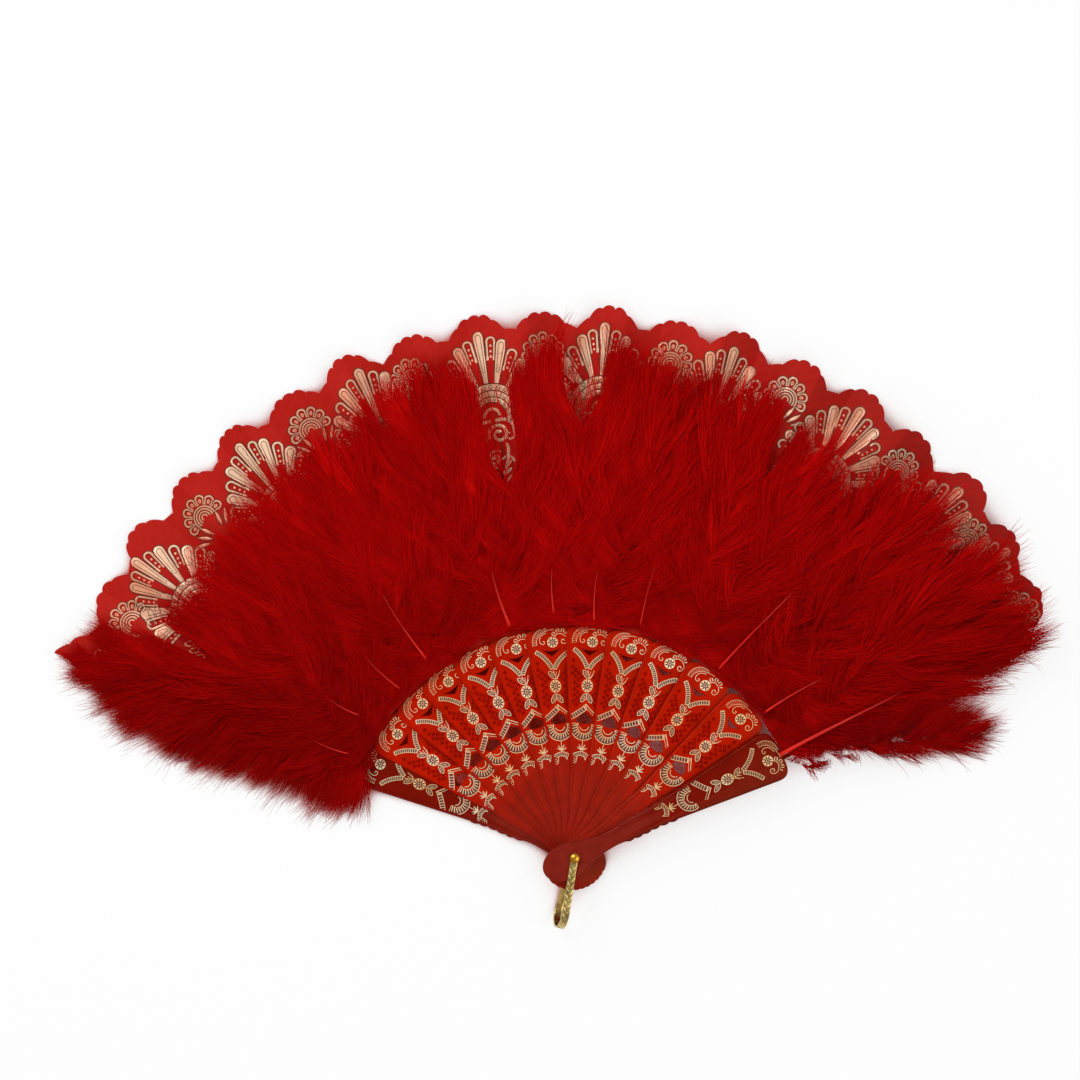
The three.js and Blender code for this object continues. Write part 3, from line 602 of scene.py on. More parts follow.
@dataclass(frozen=True)
class FanLayout:
    """Directions and heights of the fan's layers, the same as in the solids."""

    back_guard_angle: float = 155.65
    open_angle: float = 128.45
    fold_shares: tuple[float, ...] = (7.3, 8.3, 7.1, 7.9, 7.9, 7.7, 8.3, 8.2, 8.5, 8.6, 10.1, 10.2)
    back_guard_floor: float = 2.0
    guard_thickness: float = 1.8
    stick_thickness: float = 0.9
    layer_clearance: float = 0.15
    slip_recess: float = 0.2
    slip_thickness: float = 0.5
    seat_clearance: float = 0.4
    leaf_thickness: float = 0.4
    leaf_root: float = 105.3
    leaf_rim: float = 246.0
    rim_wave_height: float = 8.0
    rim_wave_angle: float = 7.2
    rim_wave_crest: float = 100.6
    root_sag: float = 0.4
    left_point: float = 6.5
    left_point_from: float = 156.6
    left_point_width: float = 2.4
    right_drop: float = 11.0
    right_drop_from: float = 32.0
    right_drop_width: float = 4.0
    ripple: float = 0.25

    @property
    def last(self) -> int:
        """Number of the front guard, where the back guard is 0."""
        return len(self.fold_shares)

    @property
    def angles(self) -> Array:
        """Directions of the guards and sticks in radians, from the back guard."""
        shares = np.array(self.fold_shares)
        steps = np.concatenate([[0], np.cumsum(shares)]) / shares.sum()
        return np.radians(self.back_guard_angle - self.open_angle * steps)

    def layer_floor(self, index: int) -> float:
        """Returns the height of the underside of a guard or stick."""
        if index == 0:
            return self.back_guard_floor
        first = self.back_guard_floor + self.guard_thickness + self.layer_clearance
        return first + (index - 1) * (self.stick_thickness + self.layer_clearance)

    def thickness(self, index: int) -> float:
        """Returns the thickness of a guard or stick."""
        return self.guard_thickness if index in (0, self.last) else self.stick_thickness

    def slip_floor(self, index: int) -> float:
        """Returns the height of the underside of a slip."""
        lift = self.guard_thickness - self.stick_thickness if index == 0 else 0.0
        return self.layer_floor(index) + lift + self.slip_recess

    @property
    def seats(self) -> Array:
        """Heights of the leaf's upper face over the slips."""
        above = self.slip_thickness + self.seat_clearance + self.leaf_thickness
        return np.array([self.slip_floor(i) + above for i in range(self.last + 1)])

    def leaf_level(self, angle: Array) -> Array:
        """Height at a direction of the surface that joins the seats, level beyond the guards."""
        return np.interp(-angle, -self.angles, self.seats)

    def rim_radius(self, angle: Array) -> Array:
        """The rim's distance from the rivet without its scallops.

        It is a round wave with a little of its double frequency taken off, which
        flattens its crests, and every other crest higher. Its left end is drawn
        out to a point and its right end falls away.

        Args:
            angle: Directions in radians.

        Returns:
            Distances in millimetres.
        """
        degrees = np.degrees(angle)
        turn = 2 * np.pi * (degrees - self.rim_wave_crest) / self.rim_wave_angle
        wave = np.cos(turn) - 0.18 * np.cos(2 * turn) + 0.3 * np.cos(turn / 2)
        point = np.clip((degrees - self.left_point_from) / self.left_point_width, 0, 1.1) ** 2
        drop = np.clip((self.right_drop_from - degrees) / self.right_drop_width, 0, 1)
        ends = self.left_point * point - self.right_drop * drop
        return self.leaf_rim + self.rim_wave_height / 2 * wave + ends

    def pleat_height(self, radius: Array, angle: Array) -> Array:
        """Height of the leaf's upper face.

        It is the seats' surface less a sag that is nothing over a slip and grows
        in a straight slope to the valley between two slips. The sag also grows
        from the root to the rim, where the valley touches the table. The cloth
        ripples a little between its slips.

        Args:
            radius: Distances from the rivet.
            angle: Directions in radians.

        Returns:
            Heights in millimetres.
        """
        angles = self.angles
        index = np.clip(np.searchsorted(-angles, -angle, side="right"), 1, self.last)
        left, right = angles[index - 1], angles[index]
        slip_half = np.clip(4 - 2 * (radius - 98) / 137, 2, 4)
        flat = slip_half + 1.2 + 2.1 * radius / self.leaf_rim
        from_slip = np.minimum(left - angle, angle - right) * radius
        half = (left - right) * radius / 2
        fold = np.clip((from_slip - flat) / (half - flat), 0, 1)
        fold = fold - 0.05 * fold**6
        length = self.rim_radius(angle) - self.leaf_root
        outward = np.clip((radius - self.leaf_root) / length, 0, 1)
        rim_sag = (self.seats[index - 1] + self.seats[index]) / 2 - self.leaf_thickness
        sag = self.root_sag + (rim_sag - self.root_sag) * outward
        across = np.clip((left - angle) / (left - right), 0, 1)
        ripple = self.ripple * np.sin(np.pi * across) * np.sin(radius * 0.11 + 9 * angle) * outward
        return np.maximum(self.leaf_level(angle) - sag * fold + ripple, self.leaf_thickness + 0.02)

    def folding_share(self, panel: int, angle: Array) -> Array:
        """How far a point of a pleat follows its right stick rather than its left one.

        The left half stays with the left stick. On the right half the share grows
        evenly to 1 at the right stick, so a closed pleat lies folded on itself.

        Args:
            panel: Number of the pleat, from 1.
            angle: Directions in radians.

        Returns:
            Shares from 0 to 1.
        """
        left, right = self.angles[panel - 1], self.angles[panel]
        return np.clip(2 * (left - angle) / (left - right) - 1, 0, 1)

    def body(self, index: int) -> str:
        """Returns the name of the body of a guard or stick."""
        if index == 0:
            return "back_guard"
        return "front_guard" if index == self.last else f"stick_{index:02d}"


def polar(points: Array) -> tuple[Array, Array]:
    """Returns distances and directions of points in the fan's plane."""
    return np.hypot(points[..., 0], points[..., 1]), np.arctan2(points[..., 1], points[..., 0])


def cartesian(radius: float | Array, angle: Array) -> Array:
    """Returns points in the fan's plane at distances and directions."""
    return np.stack([radius * np.cos(angle), radius * np.sin(angle)], -1)


def heading(degrees: float) -> Point:
    """Returns the cosine and the sine of a direction."""
    return math.cos(math.radians(degrees)), math.sin(math.radians(degrees))


# Line work


@dataclass
class Stroke:
    """One printed line in a plane: its points, half its width, and whether it is broad."""

    points: Array
    half_width: float | Array
    broad: bool = False


def inked(half_width: float | Array, *lines: Array) -> list[Stroke]:
    """Returns a thin stroke along each of the lines."""
    return [Stroke(points, half_width) for points in lines]


def arc(centre: Point, radius: float, start: float, end: float, steps: int = 14) -> Array:
    """Points of an arc: centre plus radius times (cos, sin), start to end in degrees."""
    return coil(centre, radius, radius, start, end, steps)


def coil(centre: Point, outer: float, inner: float, start: float, end: float, steps: int = 14) -> Array:
    """Points of a spiral whose radius runs evenly from outer to inner."""
    t = np.radians(np.linspace(start, end, steps + 1))
    return np.array(centre) + cartesian(np.linspace(outer, inner, steps + 1), t)


def cubic_weights(t: Array) -> tuple[Array, Array, Array, Array]:
    """Weights of a cubic part's start, the slope there, its end and the slope there."""
    return 2 * t**3 - 3 * t**2 + 1, t**3 - 2 * t**2 + t, 3 * t**2 - 2 * t**3, t**3 - t**2


def bow(a: tuple, b: tuple, c: tuple, steps: int = 10) -> Array:
    """Points of the quadratic curve from a to c that is drawn towards b."""
    t = np.linspace(0, 1, steps + 1)[:, None]
    return (1 - t) ** 2 * np.array(a) + 2 * t * (1 - t) * np.array(b) + t**2 * np.array(c)


def line(a: tuple, b: tuple, steps: int = 1) -> Array:
    """Points of a straight line."""
    return np.linspace(a, b, steps + 1)


def pointed_oval(centre: tuple, length: float, width: float, turn: float, steps: int = 14) -> Array:
    """Closed leaf shape: half width times sin t to the power 1.6, along the length.

    Args:
        centre: Middle of the shape.
        length: From point to point.
        width: At the middle.
        turn: Direction in degrees.
        steps: Steps along each side.

    Returns:
        Points of the loop.
    """
    t = np.linspace(0, 2 * np.pi, steps + 1)
    along = length / 2 * np.cos(t)
    across = width / 2 * np.sign(np.sin(t)) * np.abs(np.sin(t)) ** 1.6
    c, s = heading(turn)
    return np.stack([centre[0] + c * along - s * across, centre[1] + s * along + c * across], -1)


def sideways(points: Array) -> Array:
    """Returns the unit vector to the left of a line at each of its points."""
    ahead = np.gradient(points, axis=0)
    ahead /= np.maximum(np.linalg.norm(ahead, axis=1, keepdims=True), 1e-9)
    return np.stack([-ahead[:, 1], ahead[:, 0]], -1)


def rungs(first: Array, second: Array, count: int, half_width: float) -> list[Stroke]:
    """Short lines between two lines, at even shares of each.

    Args:
        first: One line.
        second: The other.
        count: Number of rungs.
        half_width: Half of a rung's width.

    Returns:
        A stroke for each rung.
    """
    place = np.linspace(0.02, 0.98, count)
    a, b = (
        np.stack([np.interp(place, np.linspace(0, 1, len(line)), line[:, k]) for k in (0, 1)], -1)
        for line in (first, second)
    )
    return [Stroke(np.stack([p, q]), half_width) for p, q in zip(a, b)]


def hatched_band(centre_line: Array, width: float, count: int, half_width: float) -> list[Stroke]:
    """A band with two borders, closed ends and rungs between."""
    side = sideways(centre_line) * width / 2
    left, right = centre_line + side, centre_line - side
    border = np.concatenate([left, right[::-1], left[:1]])
    return [Stroke(border, half_width * 0.9), *rungs(left, right, count, half_width)]


@dataclass(frozen=True)
class LineWork:
    """Turns strokes into low closed ribbons on a surface."""

    rise: float = 0.07
    sink: float = 0.03

    def ribbon(self, stroke: Stroke, place: Place) -> Surface:
        """Carries a low profile along a stroke.

        The profile is flat on top with sloping sides, as wide as the stroke. Each
        of its points is the stroke's point plus its offset to the left, and place
        lays plane points and heights on the surface.

        Args:
            stroke: The line.
            place: Turns plane points and a height into points in space.

        Returns:
            The closed ribbon.
        """
        across = np.array([-1, -0.5, 0, 0.5, 1]) if stroke.broad else np.array([-1, -0.6, 0.6, 1])
        heights = np.full(len(across), self.rise)
        heights[[0, -1]] = -self.sink
        points = stroke.points
        offset = sideways(points) * np.reshape(stroke.half_width, (-1, 1))
        plane = points[:, None] - offset[:, None] * across[None, :, None]
        lifted = np.broadcast_to(heights, plane.shape[:2])[..., None]
        return tube(place(np.concatenate([plane, lifted], -1))[:, ::-1])

    def surface(self, strokes: Sequence[Stroke], place: Place) -> Surface:
        """Returns all the strokes' ribbons as one surface."""
        return Surface.joined([self.ribbon(s, place) for s in strokes])


# Sticks and guards


@dataclass(frozen=True)
class StickOrnament:
    """Gilt scrollwork of a blade on its dark ground, as (along, left) from the rivet."""

    line: float = 0.15
    fine: float = 0.105
    flower: Point = (77.9, 0.0)
    rosette_centre: Point = (98.0, -0.9)
    round_centre: Point = (58.8, 0.2)

    def strokes(self) -> list[Stroke]:
        """Returns all the gilt lines of one blade."""
        return [
            *self.scroll(), *self.crest(), *self.flower_lines(self.rosette_centre, 2.3, 2.3, 8),
            *self.fork(), *self.middle(), *self.roof(), *self.half_round(), *self.foot(),
        ]

    def grounds(self) -> list[Stroke]:
        """Returns the dark strokes that lie under the bands, the flowers and the rays."""
        left, right = self.fork_lines()
        found = [
            Stroke(left, 0.9, True), Stroke(right, 0.9, True), Stroke(self.roof_line(), 1.0, True),
            Stroke(arc(self.round_centre, 4.5, 80, 280, 20), 1.35, True),
            Stroke(arc(self.round_centre, 2.75, 80, 280, 16), 0.3, True),
            Stroke(bow((46.0, 3.4), (47.6, 0.6), (45.3, -1.6)), 0.7, True),
        ]
        for centre, size in ((self.flower, 1.1), (self.rosette_centre, 1.05)):
            found.append(Stroke(arc(centre, size, 0, 360, 16), size, True))
        for (x, y), length, turn in self.leaves():
            c, s = (part * length / 2 for part in heading(turn))
            middle = line((x - c, y - s), (x + c, y + s), 8)
            found.append(Stroke(middle, 0.85 * np.sin(np.linspace(0.1, 3.04, 9)) ** 1.3 + 0.02, True))
        return found

    @staticmethod
    def curve(points: Sequence[Point], steps: int = 5) -> Array:
        """Smooth line through points: each part is a cubic whose slopes join its neighbours'.

        Args:
            points: Points on the line.
            steps: Steps from one to the next.

        Returns:
            Points of the line.
        """
        knots = np.array(points, float)
        slope = np.gradient(knots, axis=0)
        start, leave, end, arrive = cubic_weights(np.linspace(0, 1, steps + 1)[:-1, None])
        parts = [
            start * a + leave * c + end * b + arrive * d
            for a, b, c, d in zip(knots, knots[1:], slope, slope[1:])
        ]
        return np.concatenate([*parts, knots[-1:]])

    def flower_lines(self, centre: Point, length: float, width: float, petals: int) -> list[Stroke]:
        """An outlined flower: a ring, petals that widen outwards, and a small ring inside.

        Args:
            centre: Middle of the ring.
            length: Its size along the stick.
            width: Its size across.
            petals: Number of petals.

        Returns:
            The flower's strokes.
        """
        shape = np.array([length, width])
        rings = [centre + arc((0, 0), size, 0, 360, steps) * shape for size, steps in ((1.0, 20), (0.27, 10))]
        found = inked(self.line, *rings)
        for turn in np.arange(petals) * 360 / petals + 180 / petals:
            way = arc((0, 0), 1, turn, turn, 0)[0] * shape
            spoke = line(centre + 0.5 * way, centre + 0.92 * way, 3)
            found.append(Stroke(spoke, np.linspace(0.2, 0.54, 4) * 8 / petals))
        return found

    def scroll(self) -> list[Stroke]:
        """The hatched C round the left of the blade's top, with the curl that it shelters."""
        outer = self.curve([(96.9, 8.2), (99.0, 8.3), (101.3, 7.6), (103.2, 6.1), (104.2, 4.0), (104.5, 1.6)])
        inner = self.curve([(97.1, 6.4), (99.2, 6.3), (101.0, 5.4), (102.4, 4.0), (103.1, 2.4), (103.5, 0.9)])
        curl = [
            (102.4, 1.6), (101.9, 3.2), (100.9, 4.4), (99.5, 4.9), (98.1, 4.7), (97.4, 3.7), (97.8, 2.8),
            (98.7, 2.9), (98.7, 3.6),
        ]
        tail = [(103.5, 0.9), (103.8, -0.6), (103.7, -2.0)]
        return [
            *inked(self.fine, outer, inner, self.curve(tail)),
            Stroke(self.curve(curl, 4), self.line * 0.9), *rungs(outer, inner, 13, self.fine * 0.6),
        ]

    def crest(self) -> list[Stroke]:
        """The hook right of the rosette, with the leafy tuft round its back."""
        hook = [
            (100.2, -1.9), (101.3, -3.0), (101.6, -4.4), (101.0, -6.0), (99.8, -7.2), (98.1, -7.4),
            (96.8, -6.4), (97.3, -5.1), (98.5, -5.1), (98.9, -6.0), (98.0, -6.4),
        ]
        found = inked(self.line, self.curve(hook, 4))
        for turn in (84, 64, 44, 24, 4, -16, -36, -56):
            inner, outer = (arc((99.7, -4.5), size, turn, turn, 0)[0] for size in (2.6, 4.1))
            found += inked(np.array([0.1, 0.2, 0.26, 0.14]), line(inner, outer, 3))
        bumps = [arc((99.7, -4.5), 4.15, turn - 8, turn + 8, 3) for turn in (54, 14, -26)]
        return found + inked(self.fine, *bumps)

    @staticmethod
    def fork_lines() -> tuple[Array, Array]:
        """Middle lines of the two arms of the V under the upper opening."""
        return (
            bow((94.2, 7.3), (91.6, 2.9), (86.0, 0.55), 12),
            bow((92.7, -7.2), (90.0, -2.4), (85.8, -0.5), 12),
        )

    def fork(self) -> list[Stroke]:
        """The hatched V."""
        left, right = self.fork_lines()
        return [
            *hatched_band(left, 1.75, 12, self.line), *hatched_band(right, 1.75, 10, self.line),
            Stroke(line((85.4, 0.2), (83.9, -0.1), 2), self.line),
        ]

    @staticmethod
    def leaves() -> list[tuple[Point, float, float]]:
        """Centre, length and turn of the three outlined leaves at the middle flower."""
        return [((83.1, 0.9), 4.6, 38), ((72.4, 1.2), 4.6, -30), ((72.2, -1.3), 4.8, 31)]

    def middle(self) -> list[Stroke]:
        """The flower with a leaf and a sprig above and two leaves below."""
        found = self.flower_lines(self.flower, 2.85, 2.35, 10)
        for centre, length, turn in self.leaves():
            found += inked(self.line, pointed_oval(centre, length, 2.1, turn, 16))
            found += inked(self.fine, pointed_oval(centre, length * 0.4, 0.7, turn, 8))
        sprig = (
            ((81.2, -0.5), (82.2, -1.9), (85.0, -2.7)), ((80.9, -1.0), (81.8, -1.4), (83.0, -2.4)),
            ((81.2, -0.3), (82.8, -0.6), (84.4, -1.2)),
        )
        return found + inked(self.fine * 1.1, *(bow(*points, 6) for points in sprig))

    @staticmethod
    def roof_line() -> Array:
        """Middle line of the roof's left slope."""
        return bow((67.7, 0.3), (64.9, 3.6), (63.1, 6.4), 8)

    def roof(self) -> list[Stroke]:
        """The roof over the lower opening: a hatched left slope and a plain right one."""
        slope = [(69.6, 0.1), (67.6, -1.9), (65.6, -4.0)]
        return [
            *hatched_band(self.roof_line(), 2.1, 7, self.line),
            Stroke(np.array([(67.0, -0.6), (69.6, 0.15), (68.4, 1.2)]), self.line),
            Stroke(self.curve(slope, 3), 0.18), Stroke(line((67.4, -0.6), (64.6, -3.7), 3), self.fine),
            Stroke(arc((68.4, 0.1), 0.45, 0, 360, 8), self.fine),
        ]

    def half_round(self) -> list[Stroke]:
        """The half-round shell of rays that opens towards the blade's top."""
        centre = self.round_centre
        outer, inner = arc(centre, 5.8, 74, 286, 26), arc((59.2, -0.2), 3.15, 66, 290, 20)
        return [
            Stroke(outer, 0.18),
            *inked(self.line, inner, *(np.stack([outer[end], inner[end]]) for end in (0, -1))),
            *rungs(arc(centre, 5.1, 80, 280, 20), arc((59.2, -0.2), 3.1, 74, 284, 20), 13, 0.22),
            Stroke(arc((59.6, 0), 2.1, 105, 262, 12), 0.17),
        ]

    def foot(self) -> list[Stroke]:
        """The leaved sprig and the beaded scroll at the neck."""
        found = [Stroke(line((53.0, 0.2), (47.9, 0.3), 2), self.line)]
        for tip in ((50.9, 1.7), (51.0, -1.0), (49.8, 2.5), (49.5, -1.9)):
            found += inked(np.array([0.12, 0.24, 0.26, 0.1]), line((48.4, 0.3), tip, 3))
        upper = [(43.9, 4.7), (45.6, 4.7), (46.7, 3.9), (47.5, 2.1), (47.9, 0.4), (47.4, -1.2), (46.5, -2.7)]
        lower = [(44.4, 2.3), (45.5, 2.2), (46.1, 1.3), (45.9, 0.2), (45.3, -1.1), (44.0, -1.5)]
        above, below = self.curve(upper, 4), self.curve(lower, 4)
        end = [(43.9, 4.7), (42.6, 4.1), (42.8, 2.8), (44.4, 2.3)]
        found += inked(self.line, above, below, self.curve(end, 4))
        found += inked(self.fine, arc((44.1, 3.5), 0.6, 0, 360, 8))
        return found + rungs(above[6:], below[3:], 7, self.fine * 1.2)


@dataclass(frozen=True)
class StickShape:
    """Outline, openings and relief of a stick or guard, lying along +X."""

    blade_half_angle: float = 6.6
    top: float = 105.0
    corner: float = 6.0
    bevel: float = 0.16
    bore_radius: float = 1.34
    slip_root: float = 98.0
    slip_tip: float = 235.0
    lattice_root: float = 67.6
    lattice_pitch: float = 1.42
    lattice_rows: int = 16
    ridge_root: float = 12.0
    ridge_tip: float = 102.5
    ridge_radius: float = 0.55

    def neck_edge(self, knob: float = 0.0) -> Array:
        """Left edge from the far end of the head to the blade, with low knobs on the head.

        Args:
            knob: Share by which the knobs stand out.

        Returns:
            Points of the edge.
        """
        turn = np.radians(np.linspace(180, 48, 34))
        size = 1 + knob * np.cos(9 * turn) * np.clip(turn - turn[-1], 0, 0.4) / 4
        head = np.stack([11 * size * np.cos(turn) - 4.5, 8.1 * size * np.sin(turn)], -1)
        end = head[-1]
        shoulder = (41.0, 41 * math.tan(math.radians(self.blade_half_angle)))
        knots = np.array(
            [end, [(end[0] + 19) / 2, 0.33 * end[1] + 0.67 * 3.7], (19, 3.7), (30, 4.6), shoulder]
        )
        along = np.linspace(end[0], shoulder[0], 26)[1:]
        return np.concatenate([head, np.stack([along, self.smooth(along, knots)], -1)])

    @staticmethod
    def smooth(x: Array, knots: Array) -> Array:
        """Values at x of the cubic curve through the knots whose slopes join their neighbours.

        Args:
            x: Places along the stick.
            knots: Knots, as (along, left).

        Returns:
            The curve's place to the left at each x.
        """
        slope = np.gradient(knots[:, 1], knots[:, 0])
        k = np.clip(np.searchsorted(knots[:, 0], x) - 1, 0, len(knots) - 2)
        width = knots[k + 1, 0] - knots[k, 0]
        start, leave, end, arrive = cubic_weights((x - knots[k, 0]) / width)
        slopes = leave * (slope[k] * width), arrive * (slope[k + 1] * width)
        return start * knots[k, 1] + slopes[0] + end * knots[k + 1, 1] + slopes[1]

    def left_edge(self, wavy: bool) -> Array:
        """Left edge from the head to the middle of the rounded top.

        Args:
            wavy: True for a guard's waved neck.

        Returns:
            Points of the edge.
        """
        half = math.radians(self.blade_half_angle)
        edge = self.neck_edge(0.0 if wavy else 0.3)
        if wavy:
            along = np.linspace(24, 50, 73)
            inner = np.interp(along, edge[:, 0], edge[:, 1])
            inner = np.where(along > 41, along * math.tan(half), inner)
            swell = 0.6 * np.abs(np.sin(np.pi * (along - 24) / 4.33))
            edge = np.concatenate([edge[edge[:, 0] < 24], np.stack([along, inner + swell], -1)])
        side = self.top - self.corner
        start = half - self.corner / self.top
        corner = cartesian(np.array([side, self.top, self.top]), np.array([half, half, start]))
        arch = cartesian(self.top, np.linspace(start, 0, 6)[1:])
        return np.concatenate([edge, bow(*corner, 8), arch])

    def outline(self, wavy: bool) -> Array:
        """Closed outline from the left edge and its mirror image."""
        left = self.left_edge(wavy)
        return np.concatenate([left, left[1:-1][::-1] * [1, -1]])

    def openings(self) -> list[Array]:
        """The two windows and the lattice of a stick."""
        upper = np.concatenate([
            bow((91.6, 0), (93.0, -2.2), (94.6, -3.9), 5)[:-1],
            bow((94.6, -3.9), (93.4, 0), (94.6, 3.9), 6)[:-1],
            bow((94.6, 3.9), (93.0, 2.2), (91.6, 0), 5)[:-1],
        ])
        lower = np.array([
            (60.5, 0.2), (60.6, 1.9), (61.3, 3.5), (62.5, 4.0), (63.7, 2.9), (65.1, 1.2), (65.8, 0.1),
            (65.1, -1.3), (63.7, -2.8), (62.3, -3.4), (61.1, -3.0), (60.6, -1.6),
        ])
        return [upper, lower, *self.lattice()]

    def lattice(self) -> list[Array]:
        """Diamonds in staggered rows, clear of the middle ornament and of the bands."""
        pitch, found = self.lattice_pitch, []
        diamond = np.array([(-1.08, 0), (0, -0.96), (1.08, 0), (0, 0.96)])
        for row in range(self.lattice_rows):
            along = self.lattice_root + row * pitch
            columns = np.arange(-4, 5) * 2 * pitch + (row % 2) * pitch
            limit = along * math.tan(math.radians(self.blade_half_angle)) - 2.4
            fork = 7.9 * np.sqrt(np.clip((along - 83.0) / 11, 0, 1))
            roof = (70.4 - along) / 0.93
            clear = 3.2 if 75 < along < 81 else 2.7
            for across in columns:
                if clear < abs(across) < limit and abs(across) > max(fork + 1.2, roof + 1.9):
                    found.append(diamond + (along, across))
        return found

    def plate(self, wavy: bool, pierced: bool, thickness: float) -> Surface:
        """The flat plate with softly bevelled edges, from its filled outline.

        Args:
            wavy: True for a guard's waved neck.
            pierced: True for a stick's openings.
            thickness: Thickness of the plate.

        Returns:
            The closed plate with its underside at height zero.
        """
        bore = arc((0, 0), self.bore_radius, 0, 337.5, 15)
        loops = [self.outline(wavy), bore, *(self.openings() if pierced else [])]
        curve = bpy.data.curves.new("plate", "CURVE")
        curve.dimensions, curve.fill_mode = "2D", "BOTH"
        curve.bevel_depth, curve.bevel_resolution = self.bevel, 1
        curve.extrude, curve.offset = thickness / 2 - self.bevel, -self.bevel
        for loop in loops:
            spline = curve.splines.new("POLY")
            spline.points.add(len(loop) - 1)
            flat = np.zeros((len(loop), 4), np.float32)
            flat[:, :2], flat[:, 3] = loop, 1
            spline.points.foreach_set("co", flat.ravel())
            spline.use_cyclic_u = True
        holder = bpy.data.objects.new("plate", curve)
        bpy.context.scene.collection.objects.link(holder)
        bpy.context.view_layer.update()
        mesh = bpy.data.meshes.new_from_object(holder.evaluated_get(bpy.context.evaluated_depsgraph_get()))
        bpy.data.objects.remove(holder)
        whole = bmesh.new()
        whole.from_mesh(mesh)
        bmesh.ops.remove_doubles(whole, verts=whole.verts, dist=1e-4)
        bmesh.ops.triangulate(whole, faces=whole.faces)
        bmesh.ops.recalc_face_normals(whole, faces=whole.faces)
        whole.to_mesh(mesh)
        whole.free()
        points = np.empty(len(mesh.vertices) * 3, np.float32)
        mesh.vertices.foreach_get("co", points)
        corners = np.empty(len(mesh.loops), np.int32)
        mesh.loops.foreach_get("vertex_index", corners)
        bpy.data.meshes.remove(mesh)
        raised = points.reshape(-1, 3).astype(float) + [0, 0, thickness / 2]
        return Surface(raised, triangles=corners.reshape(-1, 3))

    @staticmethod
    def strip(along: Sequence[float], half: Sequence[float], floor: float, height: float) -> Surface:
        """A flat strip along X whose half width runs through the given values.

        Args:
            along: Places along X.
            half: Half width at each place.
            floor: Height of the underside.
            height: Thickness.

        Returns:
            The closed strip.
        """
        corners = np.array([(-1, 0), (1, 0), (1, 1), (-1, 1)], float)
        rings = np.zeros((len(along), 4, 3))
        rings[..., 0] = np.reshape(along, (-1, 1))
        rings[..., 1] = np.reshape(half, (-1, 1)) * corners[:, 0]
        rings[..., 2] = floor + height * corners[:, 1]
        return tube(rings)

    def web(self) -> Surface:
        """The thin sheet that closes the lattice at the blade's underside, as painted shade that keeps the
        diamonds dark.
        """
        along = np.array([66.8, 91.4])
        return self.strip(along, along * math.tan(math.radians(self.blade_half_angle)) - 1.0, 0.05, 0.2)

    def slip(self, floor: float) -> Surface:
        """The tapering strip that carries the leaf, 8 mm wide at its root and 4 at its tip."""
        return self.strip([self.slip_root, self.slip_tip, self.slip_tip + 2], [4.0, 2.0, 0.4], floor, 0.5)

    def ridge(self, top: float) -> Surface:
        """The raised round bead along the left edge, from the neck to the blade's top.

        Args:
            top: Height of the plate's upper face.

        Returns:
            The closed bead.
        """
        along = np.linspace(self.ridge_root, self.ridge_tip, 70)
        edge = self.left_edge(False)
        centre = np.interp(along, edge[:, 0], edge[:, 1]) - 0.78
        turn = np.radians(np.linspace(0, 180, 7))
        swell = np.clip(np.minimum((along - self.ridge_root) / 16, (self.ridge_tip - along) / 4), 0.05, 1)
        rings = np.zeros((70, 7, 3))
        rings[..., 0] = along[:, None]
        rings[..., 1] = centre[:, None] + self.ridge_radius * np.cos(turn)
        rings[..., 2] = top - 0.1 + (self.ridge_radius * swell)[:, None] * np.sin(turn)
        return tube(rings[:, ::-1])


